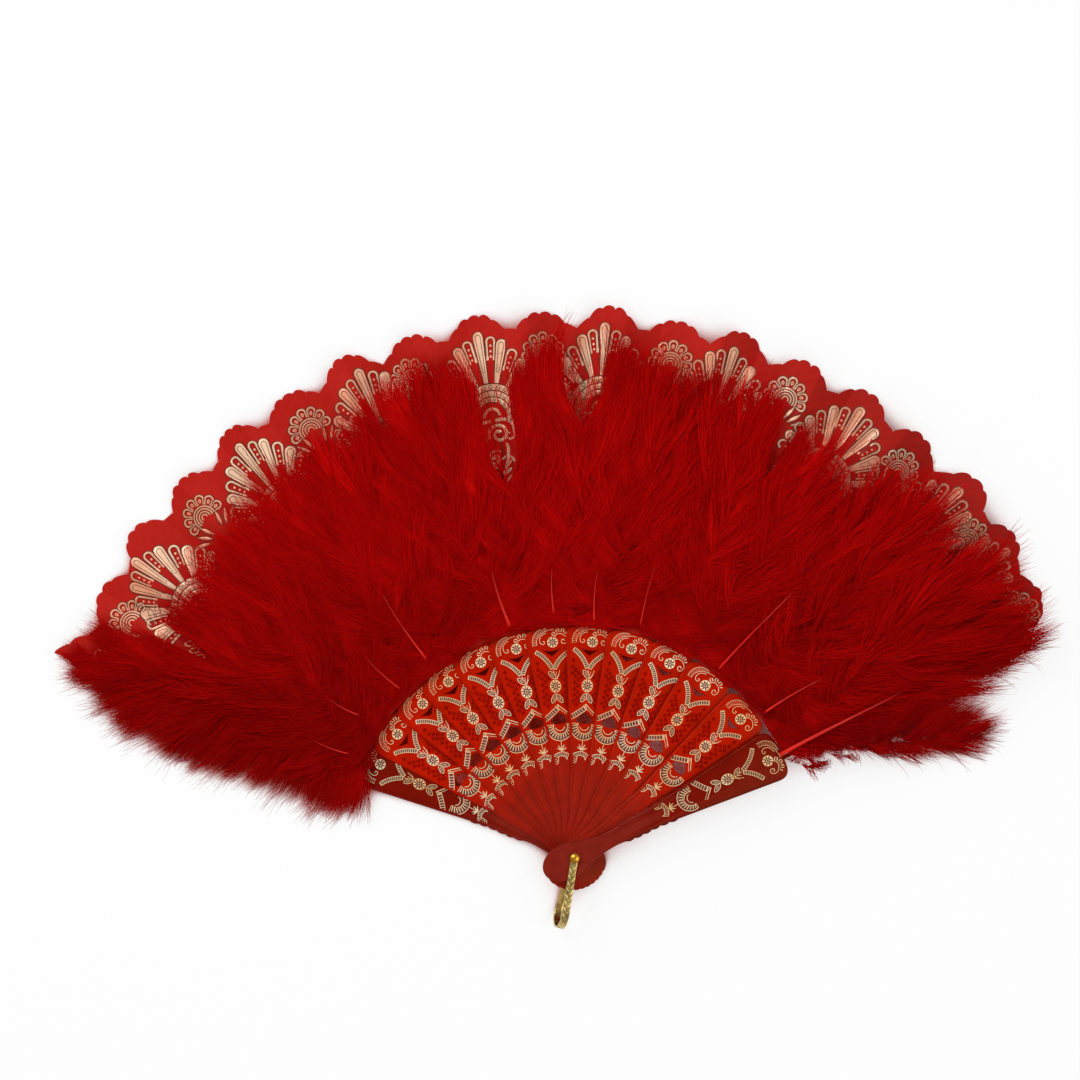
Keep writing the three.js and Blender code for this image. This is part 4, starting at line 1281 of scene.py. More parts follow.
@dataclass
class Sticks:
    """The guards and the pierced sticks with their gilt print."""

    layout: FanLayout
    finishes: Finishes
    shape: StickShape = StickShape()
    ornament: StickOrnament = StickOrnament()
    lines: LineWork = LineWork()
    ground_lines: LineWork = LineWork(rise=0.03)
    last_fold: float = 0.23

    def place_on_blade(self, points: Array, index: int) -> Array:
        """Returns a stick's points as distance in units of 100 mm, and place across.

        The place across runs from 0 at the left edge of the next stick, as the fan
        lies open, to 1 at the stick's own left edge.

        Args:
            points: Points in the stick's own frame.
            index: Number of the stick.

        Returns:
            Two numbers a point.
        """
        radius, angle = polar(points[:, :2])
        edge = self.shape.left_edge(False)
        edge = edge[edge[:, 0] > 12]
        border = np.interp(radius, np.hypot(*edge.T), np.arctan2(edge[:, 1], edge[:, 0]))
        angles = self.layout.angles
        fold = angles[index] - angles[index + 1] if index < self.layout.last else self.last_fold
        share = np.clip(1 - (border - (angle - angles[index])) / fold, 0, 1)
        past_head = np.clip((radius - 13) / 6, 0, 1)
        return np.stack([radius / 100, 0.5 + (share - 0.5) * past_head], -1)

    def build(self) -> None:
        """Builds each guard and stick with its print, and lets both ride on its body."""
        for index, angle in enumerate(self.layout.angles):
            body = self.layout.body(index)
            guard = index in (0, self.layout.last)
            thickness, floor = self.layout.thickness(index), self.layout.layer_floor(index)
            surface = Surface.joined([
                self.shape.plate(guard, not guard, thickness),
                self.shape.slip(self.layout.slip_floor(index) - floor),
                self.shape.ridge(thickness),
            ]).turned(angle, floor)
            finish = Finish.GUARD_PLASTIC if guard else Finish.PLASTIC
            stick = Piece(f"{body}_shell", surface, [self.finishes[finish]], "gloss_plastic").make()
            add_uv(stick, "Blade", self.place_on_blade(surface.points, index))
            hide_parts(body)
            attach(stick, body)
            for suffix, strokes, lines, finish in (
                ("print", self.ornament.strokes(), self.lines, Finish.STICK_FOIL),
                ("print_ground", self.ornament.grounds(), self.ground_lines, Finish.STICK_FOIL_DARK),
            ):
                flat = lines.surface(strokes, lambda plane: plane).turned(angle, floor + thickness)
                printed = Piece(f"{body}_{suffix}", flat, [self.finishes[finish]], "gilt_metal").make()
                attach(printed, body)
            if not guard:
                # The web is painted shade: a darker sheet under the lattice's diamonds.
                sheet = self.shape.web().turned(angle, floor)
                web = Piece(f"{body}_web", sheet, [self.finishes[Finish.WEB_IN_PAINTED_SHADE]], "gloss_plastic").make()
                add_uv(web, "Blade", self.place_on_blade(sheet.points, index))
                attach(web, body)


# Rivet and bail


@dataclass
class Hardware:
    """The rivet and the bail that hangs on it."""

    finishes: Finishes
    sides: int = 48
    stack_top: float = 18.3
    dome_radius: float = 2.3
    dome_height: float = 1.7
    rear_radius: float = 3.0
    rear_height: float = 1.0
    pin_radius: float = 1.25
    bail_reach: float = 33.6
    bail_width: float = 3.5
    bail_thickness: float = 0.8
    bail_floor: float = 1.1
    bail_top: float = 18.2
    bail_angle: float = 257.5
    bail_twist: float = 7.0
    eye_radius: float = 2.4
    leaf_pitch: float = 2.9
    leaf_depth: float = 0.34

    def lathe(self, radii: Sequence[float], heights: Sequence[float]) -> Surface:
        """Turns a profile about the rivet's axis: each ring is radius times (cos, sin)."""
        t = np.arange(self.sides) * 2 * np.pi / self.sides
        r, z = np.array(radii)[:, None], np.array(heights)[:, None]
        return tube(np.dstack([cartesian(r, t), z + 0 * t]))

    def rivet(self) -> None:
        """Builds the pin with its rear head, and the domed cap."""
        rear = self.lathe(
            [self.rear_radius - 0.3, self.rear_radius, self.rear_radius, self.rear_radius - 0.15,
             self.pin_radius, self.pin_radius],
            [0, 0.25, self.rear_height - 0.15, self.rear_height, self.rear_height, self.stack_top],
        )
        t = np.linspace(0, np.pi / 2 - 0.05, 9)
        radii = [self.dome_radius - 0.12, self.dome_radius, *(self.dome_radius * np.cos(t))]
        rise = 0.45 + (self.dome_height - 0.45) * np.sin(t)
        heights = [self.stack_top, self.stack_top + 0.12, *(self.stack_top + rise)]
        for name, node, surface, finish in (
            ("rivet_pin_turned", "rivet_pin", rear, Finish.GILT),
            ("rivet_cap", "rivet_dome", self.lathe(radii, heights), Finish.RIVET_CAP),
        ):
            made = Piece(name, surface, [self.finishes[finish]], "gilt_metal").make()
            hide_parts(node)
            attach(made, "back_guard")

    def bail(self) -> None:
        """Builds the engraved strip.

        A rounded strip is carried along a leg, a half circle and a leg, in the
        plane of reach and height, and turned about the rivet by an angle that
        grows with height. Its outer face is raised in slanting leaves that meet
        on the middle line, as a herringbone.
        """
        middle = (self.bail_floor + self.bail_top) / 2
        radius = (self.bail_top - self.bail_floor - self.bail_thickness) / 2
        straight = self.bail_reach - radius - self.bail_thickness / 2
        leg = straight + self.eye_radius
        total = 2 * leg + np.pi * radius
        s = np.linspace(0, total, 300)
        turn = np.clip((s - leg) / radius, 0, np.pi)
        x = np.where(s < leg, s - self.eye_radius, straight + radius * np.sin(turn))
        x = np.where(s > total - leg, total - s - self.eye_radius, x)
        z = middle + radius * np.cos(turn)
        normal = np.stack([np.sin(turn), 0 * s, np.cos(turn)], -1)
        across = np.array([-1, -0.96, -0.86, -0.6, -0.36, -0.12, 0.12, 0.36, 0.6, 0.86, 0.96, 1])
        outer = self.bail_thickness / 2 * np.array([0, 0.75, 1, 1, 1, 1, 1, 1, 1, 1, 0.75, 0])
        inner = np.broadcast_to(-outer[::-1][1:-1], (len(s), 10))
        half = np.maximum(self.bail_width / 2, np.sqrt(np.clip(self.eye_radius**2 - x**2, 0, None)))
        half = np.where(x < 0, np.sqrt(np.clip(self.eye_radius**2 - x**2, 0.02, None)), half)
        slant = s[:, None] / self.leaf_pitch + 0.8 * np.abs(across)[None]
        leaves = self.leaf_depth * (np.abs(np.sin(np.pi * slant)) ** 0.5 - 0.75)
        leaves *= (np.abs(across) < 0.9) * np.clip(np.abs(x)[:, None] - 3.0, 0, 1)
        ring_across = np.concatenate([across, across[::-1][1:-1]])
        raised = np.concatenate([outer[None] + leaves, inner], 1)
        centre = np.stack([x, 0 * s, z], -1)
        rings = centre[:, None] + normal[:, None] * raised[..., None]
        rings[..., 1] += half[:, None] * ring_across
        angle = np.radians(
            self.bail_angle + self.bail_twist * (rings[..., 2] - middle) / (self.bail_top - self.bail_floor)
        )
        c, n = np.cos(angle), np.sin(angle)
        turned = np.stack(
            [c * rings[..., 0] - n * rings[..., 1], n * rings[..., 0] + c * rings[..., 1], rings[..., 2]], -1
        )
        gilt = [self.finishes[Finish.ENGRAVED_GILT]]
        strip = tube(turned)
        made = Piece("bail_engraved", strip, gilt, "gilt_metal", sharp_angle=50).make()
        marks = np.ones((len(strip.points), 2))
        depth = np.concatenate([leaves, 0 * inner], 1) / self.leaf_depth
        marks[: depth.size, 0] = np.clip(1 + depth, 0, 1).ravel()
        add_uv(made, "Relief", marks)
        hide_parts("bail")
        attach(made, "bail")

    def build(self) -> None:
        """Builds the rivet and the bail."""
        self.rivet()
        self.bail()


# Leaf


@dataclass(frozen=True)
class LeafPrint:
    """Foil shells along the rim, drawn as (right, outward) of a shell and laid by polar turn."""

    large_angles: tuple[float, ...] = (35, 43.5, 57.2, 72.4, 86.7, 100.6, 114.1, 129.5, 146.3)
    small_angles: tuple[float, ...] = (28.9, 38.9, 49.9, 65.3, 79, 93.5, 109, 121.8, 137.6, 152.4, 158.2)
    large_centre: float = 204.0
    petals: tuple[tuple[float, float, float], ...] = (
        (0, 39.6, 5.0), (17.5, 35.8, 5.2), (38.5, 30.4, 5.8), (62, 26.8, 5.6),
    )
    arches: tuple[tuple[float, float, float], ...] = (
        (9, 37.0, 4.9), (27.8, 32.8, 5.2), (50, 28.6, 5.4), (74, 25.6, 5.0),
    )
    small_centre: float = 229.0

    @staticmethod
    def on_fan(points: Array, direction: float) -> Array:
        """Lays (right, outward) points on the fan: outward is the distance from the rivet,
        and right turns the point by right over that distance."""
        angle = math.radians(direction) - points[:, 0] / points[:, 1]
        return cartesian(points[:, 1], angle)

    @staticmethod
    def ray(centre: float, turn: float, distances: float | Array, sideways_by: float | Array) -> Array:
        """Points at distances along a ray that leans right by turn degrees, moved sideways."""
        c, s = heading(turn)
        return np.stack([s * distances + c * sideways_by, centre + c * distances - s * sideways_by], -1)

    def petal(self, turn: float, root: float, tip: float, width: float) -> Array:
        """Closed loop of a petal: a narrow root that widens evenly to a round tip.

        Args:
            turn: Lean in degrees.
            root: Start, from the shell's centre.
            tip: End, likewise.
            width: Greatest width.

        Returns:
            Points of the loop.
        """
        out = np.linspace(0, 1, 9)
        body = root + (tip - width / 2 - root) * out
        half = width / 2 * (0.42 + 0.58 * out)
        cap = np.linspace(0, np.pi, 10)[1:-1]
        distances = np.concatenate([body, tip - width / 2 * (1 - np.sin(cap)), body[::-1], body[:1]])
        sides = np.concatenate([half, width / 2 * np.cos(cap), -half[::-1], half[:1]])
        return self.ray(self.large_centre, turn, distances, sides)

    def petal_fill(self, turn: float, root: float, tip: float, width: float) -> Stroke:
        """The broad stroke that fills a petal, as wide as the petal at each point."""
        turn_in = np.linspace(0, np.pi / 2, 6)[1:]
        distance = np.concatenate(
            [np.linspace(root, tip - width / 2, 7), tip - width / 2 + width / 2 * np.sin(turn_in)]
        )
        half = width / 2 * np.concatenate([0.42 + 0.58 * np.linspace(0, 1, 7), np.cos(turn_in).clip(0.08)])
        return Stroke(self.ray(self.large_centre, turn, distance, 0 * distance), half, True)

    @staticmethod
    def arch(tip: float, width: float, depth: float) -> tuple[Array, Array]:
        """Distances and sideways offsets of a round arch whose legs draw together."""
        t = np.linspace(0, np.pi, 12)
        low, near = tip - depth, 1 - 0.75 * depth / tip
        distances = np.concatenate([[low], tip - width / 2 + width / 2 * np.sin(t), [low]])
        sides = width / 2 * np.concatenate([[near], np.cos(t), [-near]])
        return distances, sides

    def beads(self, radius: float, size: float, count: int, half_width: float) -> list[Stroke]:
        """Small rings set evenly round the upper part of a shell's collar."""
        centre = (0, self.large_centre)
        return [
            Stroke(arc(arc(centre, radius, turn, turn, 0)[0], size, 0, 360, 8), half_width)
            for turn in np.linspace(200, -20, count)
        ]

    def large_shell(self) -> tuple[list[Stroke], list[Stroke]]:
        """Gold and dark strokes of a large shell, as (right, outward) points.

        Full petals take turns with hollow arches that hold a row of beads, over a
        collar of three banded rings.
        """
        c = self.large_centre
        gold, dark = [], []
        for turn, tip, width in self.petals:
            for lean in {turn, -turn}:
                gold.append(self.petal_fill(lean, 15.2, tip, width))
                dark.append(Stroke(self.petal(lean, 15.4, tip + 0.15, width + 0.3), 0.25))
                dark.append(Stroke(self.petal(lean, 20.5, tip - 1.4, width * 0.48), 0.2))
        for turn, tip, width in self.arches:
            for lean in (turn, -turn):
                for found, past, wider, depth, half in (
                    (gold, -0.6, -1.2, 10.5, 0.6), (dark, 0, 0, 9.0, 0.2), (dark, -1.25, -2.5, 8.0, 0.2),
                ):
                    found += inked(half, self.ray(c, lean, *self.arch(tip + past, width + wider, depth)))
                for drop in (4.4, 7.0, 9.4):
                    spot = self.ray(c, lean, tip - drop, 0.0)
                    gold.append(Stroke(arc(spot, 0.3, 0, 360, 7), 0.3))
        for radius, half in ((13.7, 1.45), (10.6, 1.35), (7.9, 1.1)):
            gold.append(Stroke(arc((0, c), radius, 205, -25, 36), half, True))
        for radius in (15.2, 12.1, 9.15, 6.7):
            dark.append(Stroke(arc((0, c), radius, 206, -26, 40), 0.24))
        dark += self.beads(13.7, 0.85, 16, 0.24) + self.beads(7.9, 0.55, 13, 0.2)
        dark += rungs(arc((0, c), 12.1, 203, -23, 24), arc((0, c), 9.15, 203, -23, 24), 15, 0.22)
        gold += self.under_scroll(c)
        return gold, dark

    @staticmethod
    def under_scroll(c: float) -> list[Stroke]:
        """Curls and leaves between the collar and the plumes.

        Args:
            c: The shell's centre.

        Returns:
            The strokes.
        """
        found = [
            Stroke(arc((0, c), 3.6, 0, 180, 14), 0.7),
            Stroke(coil((1.6, c - 8.4), 5.0, 1.0, 200, -320, 34), 0.75),
            Stroke(coil((-2.0, c - 19.0), 3.6, 0.8, 40, 520, 26), 0.6),
            Stroke(bow((4.6, c - 13), (4.6, c - 21), (0.5, c - 27), 10), 0.7),
        ]
        for side in (-1, 1):
            found.append(Stroke(bow((side * 1.0, c - 2), (side * 10, c - 1), (side * 8.8, c - 9), 12), 0.8))
            start, end = (0, -300) if side > 0 else (180, 480)
            found += inked(
                0.5, coil((side * 6.2, c - 9.4), 2.6, 0.6, start, end, 16),
                bow((side * 1.0, c - 20), (side * 5, c - 17), (side * 6.5, c - 22), 10),
            )
            for k in range(3):
                start, tip = (side * 1.4, c - 24 - 3.2 * k), (side * (5.4 - 0.6 * k), c - 21 - 3.2 * k)
                found.append(Stroke(line(start, tip, 5), 0.8 * np.sin(np.linspace(0.3, 3.0, 6)), True))
            for k in range(3):
                oval = pointed_oval((side * (17.5 + 1.4 * k), c - 3 - 3.4 * k), 5.2, 2.2, 90 - side * 40, 12)
                found.append(Stroke(oval, 0.35))
        return found

    def small_shell(self) -> tuple[list[Stroke], list[Stroke]]:
        """Gold and dark strokes of a small shell: arches round concentric half circles."""
        c = self.small_centre
        gold, dark = [], []
        for radius in (1.4, 2.7, 4.0, 5.2):
            gold.append(Stroke(arc((0, c), radius, 200, -20, 18), 0.42))
            dark.append(Stroke(arc((0, c), radius + 0.62, 200, -20, 18), 0.2))
        for k in range(-3, 4):
            turn = 30.0 * k
            tip = 10.6 - 0.25 * abs(k)
            for found, past, width, depth, half in (
                (gold, 0, 3.7, 4.4, 0.5), (dark, 0.6, 4.9, 4.6, 0.2), (dark, -0.75, 2.3, 3.2, 0.18),
            ):
                found += inked(half, self.ray(c, turn, *self.arch(tip + past, width, depth)))
            spot = self.ray(c, turn, tip - 2.6, 0.0)
            gold.append(Stroke(pointed_oval(spot, 1.6, 1.0, 90 - turn, 8), 0.3))
        for side in (-1, 1):
            for k in range(3):
                centre = (side * (4.2 + 3.0 * k), c - 4.8 - 1.4 * k)
                turn = 90 - side * (20 + 18 * k)
                half = 3.6 * np.array(heading(turn))
                blade = line(centre + half, centre - half, 6)
                gold.append(Stroke(blade, 0.75 * np.sin(np.linspace(0.15, 3.0, 7)), True))
                dark.append(Stroke(pointed_oval(centre, 8.2, 2.4, turn, 14), 0.2))
        return gold, dark

    def strokes(self) -> tuple[list[Stroke], list[Stroke]]:
        """Returns all gold and all dark strokes, in the fan's plane."""
        gold, dark = [], []
        for angles, shell in (
            (self.small_angles, self.small_shell()), (self.large_angles, self.large_shell()),
        ):
            for direction in angles:
                for found, drawn in zip((gold, dark), shell):
                    found += [Stroke(self.on_fan(s.points, direction), s.half_width, s.broad) for s in drawn]
        return gold, dark


@dataclass
class Leaf:
    """The pleated cloth in twelve folds, with its foil print."""

    layout: FanLayout
    finishes: Finishes
    artwork: LeafPrint = LeafPrint()
    rows: int = 36
    columns: int = 84
    scallops: int = 8
    scallop_height: float = 1.7
    flap: float = 3.2
    print_gap: float = 0.1

    def borders(self, panel: int) -> Point:
        """Returns a pleat's left and right directions, with the first one's flap."""
        left, right = self.layout.angles[panel - 1], self.layout.angles[panel]
        return (left + math.radians(self.flap) if panel == 1 else left), right

    def top_points(self, panel: int) -> Array:
        """Upper face of a pleat on a grid of distance and direction, as row by column by 3.

        The rim is the layout's rim plus one round scallop after another, each the
        square root of a sine.

        Args:
            panel: Number of the pleat.

        Returns:
            The points.
        """
        left, right = self.borders(panel)
        share = np.linspace(0, 1, self.columns)
        angle = left + (right - left) * share
        scallop = np.sqrt(np.abs(np.sin(np.pi * self.scallops * share)))
        rim = self.layout.rim_radius(angle) + self.scallop_height * (scallop - 0.35)
        outward = np.linspace(0, 1, self.rows)[:, None] ** 0.8
        radius = self.layout.leaf_root + (rim - self.layout.leaf_root) * outward
        angle = np.broadcast_to(angle, radius.shape)
        height = self.layout.pleat_height(radius, angle)
        return np.dstack([cartesian(radius, angle), height])

    def panel(self, index: int) -> bpy.types.Object:
        """Builds one pleat as a thin closed sheet between its two sticks.

        Args:
            index: Number of the pleat.

        Returns:
            The pleat's object.
        """
        top = self.top_points(index)
        bottom = top - [0, 0, self.layout.leaf_thickness]
        surface = thick_sheet(top, bottom)
        made = Piece(
            f"leaf_pleat_{index:02d}", Surface(surface.points, surface.quads[:, ::-1]),
            [self.finishes[Finish.CLOTH]], "leaf_cloth", sharp_angle=60,
        ).make()
        radius, angle = polar(surface.points)
        add_uv(made, "Weave", np.stack([angle * 200 * MM, radius * MM], -1))
        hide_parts(f"leaf_panel_{index:02d}")
        self.fold(made, index, angle)
        return made

    def fold(self, made: bpy.types.Object, index: int, angle: Array) -> None:
        """Bakes a piece of a pleat into its mesh, and works out how far its points would follow the pleat's
        right stick.

        Args:
            made: The piece.
            index: Number of the pleat.
            angle: Directions of its points.
        """
        self.layout.body(index - 1)
        self.layout.body(index)
        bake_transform(made)
        share = self.layout.folding_share(index, angle)

    def on_leaf(self, plane: Array) -> Array:
        """Lays plane points and a height above the cloth on the pleats."""
        radius, angle = polar(plane)
        height = self.layout.pleat_height(radius, angle) + plane[..., 2] + self.print_gap
        return np.stack([plane[..., 0], plane[..., 1], height], -1)

    def split(self, strokes: Sequence[Stroke]) -> dict[int, list[Stroke]]:
        """Cuts strokes where they pass from one pleat to the next.

        Args:
            strokes: Strokes in the fan's plane.

        Returns:
            The strokes of each pleat, by its number.
        """
        found: dict[int, list[Stroke]] = {i: [] for i in range(1, self.layout.last + 1)}
        for stroke in strokes:
            radius, angle = polar(stroke.points)
            middle = (angle[1:] + angle[:-1]) / 2
            panel = np.searchsorted(-self.layout.angles, -middle, side="right")
            within = (middle < self.layout.angles[0] + math.radians(self.flap)) & (panel <= self.layout.last)
            within &= radius[1:] < self.layout.rim_radius(middle) - 0.6
            panel = np.where(within, np.clip(panel, 1, self.layout.last), 0)
            cuts = np.flatnonzero(np.diff(panel)) + 1
            widths = np.broadcast_to(stroke.half_width, len(stroke.points))
            for run in np.split(np.arange(len(panel)), cuts):
                owner = int(panel[run[0]])
                if owner:
                    ends = slice(run[0], run[-1] + 2)
                    found[owner].append(Stroke(stroke.points[ends], widths[ends], stroke.broad))
        return found

    def build(self) -> None:
        gold, dark = (self.split(strokes) for strokes in self.artwork.strokes())
        for index in range(1, self.layout.last + 1):
            pleat = self.panel(index)
            for suffix, strokes, finish, rise in (
                ("foil", gold[index], Finish.LEAF_FOIL, 0.05),
                ("foil_lines", dark[index], Finish.LEAF_FOIL_DARK, 0.12),
            ):
                surface = LineWork(rise, 0.15).surface(strokes, self.on_leaf)
                name = f"leaf_{suffix}_{index:02d}"
                made = Piece(name, surface, [self.finishes[finish]], "gilt_metal").make()
                self.fold(made, index, polar(surface.points)[1])
            self.declare(index)

    def declare(self, index: int) -> None:
        """Works out the pleat's upper face and the names of its two sticks' shells, and keeps neither.

        Args:
            index: Its number.
        """
        top = self.top_points(index)
        f"{self.layout.body(index - 1)}_shell"
        f"{self.layout.body(index)}_shell"


# Feathers


class PlumeRow(Enum):
    """The two rows of plumes."""

    LOWER = "lower"
    UPPER = "upper"


@dataclass(frozen=True)
class Spread:
    """How barbs leave a shaft on one side, from its root to its tip.

    splay is the barb's lean from the shaft in degrees and reach its length, each
    at even places along the shaft. sweep is the share of its lean that a barb
    loses on its way to its own tip.
    """

    splay: tuple[float, ...] = (104, 46, 32, 16)
    reach: tuple[float, ...] = (20, 38, 40, 28)
    sweep: float = 0.9

    def at(self, place: Array) -> Array:
        """Returns splay and reach at shares of the shaft's length, as two rows."""
        knots = np.linspace(0, 1, len(self.splay))
        return np.stack([np.interp(place, knots, self.splay), np.interp(place, knots, self.reach)])


@dataclass(frozen=True)
class Shaft:
    """One feather of a plume, in the plume's plane: along its direction and to its left."""

    start: Point = (109.0, 0.0)
    turn: float = 0.0
    length: float = 90.0
    bow: float = 1.5
    left: Spread = Spread()
    right: Spread = Spread()
    wisps: int = 70
    loft: float = 4.5
    shortest: float = 0.5
    quill_radius: float = 0.0
    quill_start: float = 0.0
    quill_length: float = 20.0


@dataclass(frozen=True)
class Parting:
    """A place where the down stands apart and the printed leaf shows.

    Its half width runs from nothing at start to its full value over ramp
    millimetres, and back to nothing at end.
    """

    direction: float
    start: float
    end: float
    half_width: float
    ramp: float = 12.0

    def openness(self, radius: Array) -> Array:
        """Share of the full half width at distances from the rivet, with soft ends."""
        wide = np.clip(np.minimum(radius - self.start, self.end - radius) / self.ramp, 0, 1)
        return wide * wide * (3 - 2 * wide)

    def kept_height(self, radius: Array, angle: Array) -> Array:
        """Share of its height that the down keeps, least at the parting's middle."""
        offset = (angle - math.radians(self.direction)) * radius
        return 1 - 0.7 * self.openness(radius) * np.exp(-((offset / (2.2 * self.half_width)) ** 2))

    def part(self, radius: Array, angle: Array, ease: Array) -> Array:
        """Moves directions away from the parting's middle.

        The distance d from the middle becomes the root of d squared plus the half
        width squared, on the side where the barb's mean lies. Each barb takes part
        by its own ease, and hardly at all if it lies far away.

        Args:
            radius: Distances from the rivet, with a barb's points on the last axis.
            angle: Directions in radians, likewise.
            ease: How far each barb gives way, as a share of the half width.

        Returns:
            The new directions.
        """
        middle = math.radians(self.direction)
        wide = self.openness(radius) * ease
        offset = (angle - middle) * radius
        side = np.where(offset.mean(-1, keepdims=True) >= 0, 1.0, -1.0)
        near = np.exp(-((offset / 26) ** 2))
        moved = side * np.sqrt(offset**2 + near * (self.half_width * wide) ** 2)
        return middle + np.where(wide > 0.3, moved, offset + (moved - offset) * wide / 0.3) / radius


PARTINGS = (
    Parting(100.0, 162, 262, 12.0, 28), Parting(88.9, 186, 262, 16.0, 32), Parting(151.5, 180, 262, 4.5, 20),
    Parting(63.5, 186, 262, 6.0, 24),
)


@dataclass
class Plume:
    """A bundle of down on one stick, made of barbs that gather in wisps."""

    layout: FanLayout
    finishes: Finishes
    row: PlumeRow
    index: int
    shafts: Sequence[Shaft]
    strands: int = 28
    steps: int = 5
    keep: float = 0.25
    hang_left: tuple[float, float, float] = (16.0, 14.0, 3.6)
    hang_right: tuple[float, float, float] = (5.5, 34.5, 15.5)

    @property
    def direction(self) -> float:
        """Direction of the plume's middle, over a slip or midway between two."""
        angles = self.layout.angles
        if self.row is PlumeRow.LOWER:
            return float(angles[self.index])
        return float(angles[self.index - 1] + angles[self.index]) / 2

    @property
    def base_rise(self) -> float:
        """Height of the row's underside above the leaf's seats."""
        return 4.9 if self.row is PlumeRow.UPPER else 0.0

    def in_space(self, plane: Array, rise: Array, ease: Array | float = 0.0) -> Array:
        """Places (along, left) points at a rise above the leaf.

        The down is thin at the blades' tops and gains its full height further
        out. Beyond a guard it hangs over the edge and never under the table:
        hang_left and hang_right say how far past the guard it begins to fall,
        and how far it falls over which distance.

        Args:
            plane: Points in the plume's plane.
            rise: Heights above the leaf where the down has its full height.
            ease: How far each barb gives way at the partings.

        Returns:
            Points in the fan's frame.
        """
        c, s = math.cos(self.direction), math.sin(self.direction)
        x = c * plane[..., 0] - s * plane[..., 1]
        y = s * plane[..., 0] + c * plane[..., 1]
        radius, angle = np.hypot(x, y), np.arctan2(y, x)
        for parting in PARTINGS:
            angle = parting.part(radius, angle, ease)
            rise = rise * parting.kept_height(radius, angle)
        x, y = radius * np.cos(angle), radius * np.sin(angle)
        first, last = self.layout.angles[[0, -1]]
        growth = np.clip((radius - 98) / 40, 0.2, 1)
        over_blade = 0.9 * np.clip((112 - radius) / 5, 0, 1)
        level = self.layout.leaf_level(angle) + 0.6 + over_blade + rise * growth
        for past, (start, width, fall) in (
            ((angle - first) * radius, self.hang_left), ((last - angle) * radius, self.hang_right),
        ):
            level = level - fall * (np.clip(past - start, 0, None) / width)
        return np.stack([x, y, np.maximum(level, 0.4 + 0.12 * rise)], -1)

    def paths(self, shaft: Shaft, rng: np.random.Generator) -> tuple[Array, Array]:
        """Draws a shaft's barbs in its own plane and sets their heights.

        A barb starts on the shaft, leans out from it by its side's splay and
        sweeps forward on its way. Barbs of one wisp share their lean, length and
        height, and draw together towards the wisp's tip. Each has a wave of its
        own that grows along it.

        Args:
            shaft: The feather.
            rng: Source of random numbers.

        Returns:
            Points as barb by step by 2, and rises as barb by step.
        """
        wisps, count = shaft.wisps, self.strands
        total = wisps * count
        place = (np.arange(wisps) + rng.random(wisps)) / wisps
        side = np.where(rng.random(wisps) < 0.5, 1.0, -1.0)
        splay, reach = np.where(side > 0, shaft.left.at(place), shaft.right.at(place))
        sweep = np.where(side > 0, shaft.left.sweep, shaft.right.sweep)
        splay = splay + rng.normal(0, 7, wisps)
        aside = rng.normal(0, 2.4, wisps)
        reach = reach * rng.uniform(0.8, 1.12, wisps)
        layer = rng.random(wisps)

        def spread(values: Array) -> Array:
            """Repeats each wisp's value for its barbs, as a column."""
            return np.repeat(values, count)[:, None]

        t = np.linspace(0, 1, self.steps + 1)
        middle = (t[1:] + t[:-1]) / 2
        stray = np.where(rng.random(total) < 0.1, 3.0, 1.0)[:, None]
        lean = spread(splay) * (1.12 - spread(sweep) * middle)
        lean = lean + spread(rng.normal(0, 8, wisps)) * middle**2
        lean = lean + stray * (rng.normal(0, 4, (total, 1)) + rng.normal(0, 6, (total, 1)) * middle)
        lean = np.radians(lean)
        stride = spread(reach) * rng.uniform(shaft.shortest, 1.1, (total, 1)) / self.steps
        sign = spread(side)
        path = np.zeros((total, self.steps + 1, 2))
        path[:, 1:, 0] = np.cumsum(stride * np.cos(lean), 1)
        path[:, 1:, 1] = np.cumsum(stride * np.sin(lean), 1) * sign
        scatter = np.abs(rng.normal(0, 3.2, (total, 1))) * np.where(rng.random((total, 1)) < 0.5, 1, -0.4)
        path[..., 0] += spread(place) * shaft.length + scatter * (1 - 0.75 * t)
        wave = rng.normal(0, 0.6, (total, 1)) * t
        wave = wave * np.sin(2 * np.pi * (rng.uniform(0.5, 1.5, (total, 1)) * t + rng.random((total, 1))))
        path[..., 0] -= wave * np.sin(lean[:, [0]]) * sign
        path[..., 1] += wave * np.cos(lean[:, [0]]) + rng.normal(0, 1.3, (total, 1)) * t**1.5
        path[..., 1] += spread(aside) * np.clip(path[..., 0] / 12, 0, 1)
        path[..., 1] += shaft.bow * np.sin(np.pi * np.clip(path[..., 0] / (shaft.length + 20), 0, 1))
        height = spread(layer) * shaft.loft + rng.uniform(0, 1.6, (total, 1))
        arch = spread(rng.uniform(0.3, 2.0, wisps)) * np.sin(np.pi * t)
        fall = spread(rng.uniform(-0.6, 0.35, wisps)) * height * t**2
        rise = self.base_rise + np.clip(height * (0.4 + 0.6 * np.sqrt(t)) + arch + fall, 0.05, None)
        return path, rise

    def laid(self, shaft: Shaft, path: Array) -> Array:
        """Turns a shaft's own (along, left) points into the plume's."""
        c, s = heading(shaft.turn)
        along = shaft.start[0] + c * path[..., 0] - s * path[..., 1]
        return np.stack([along, shaft.start[1] + s * path[..., 0] + c * path[..., 1]], -1)

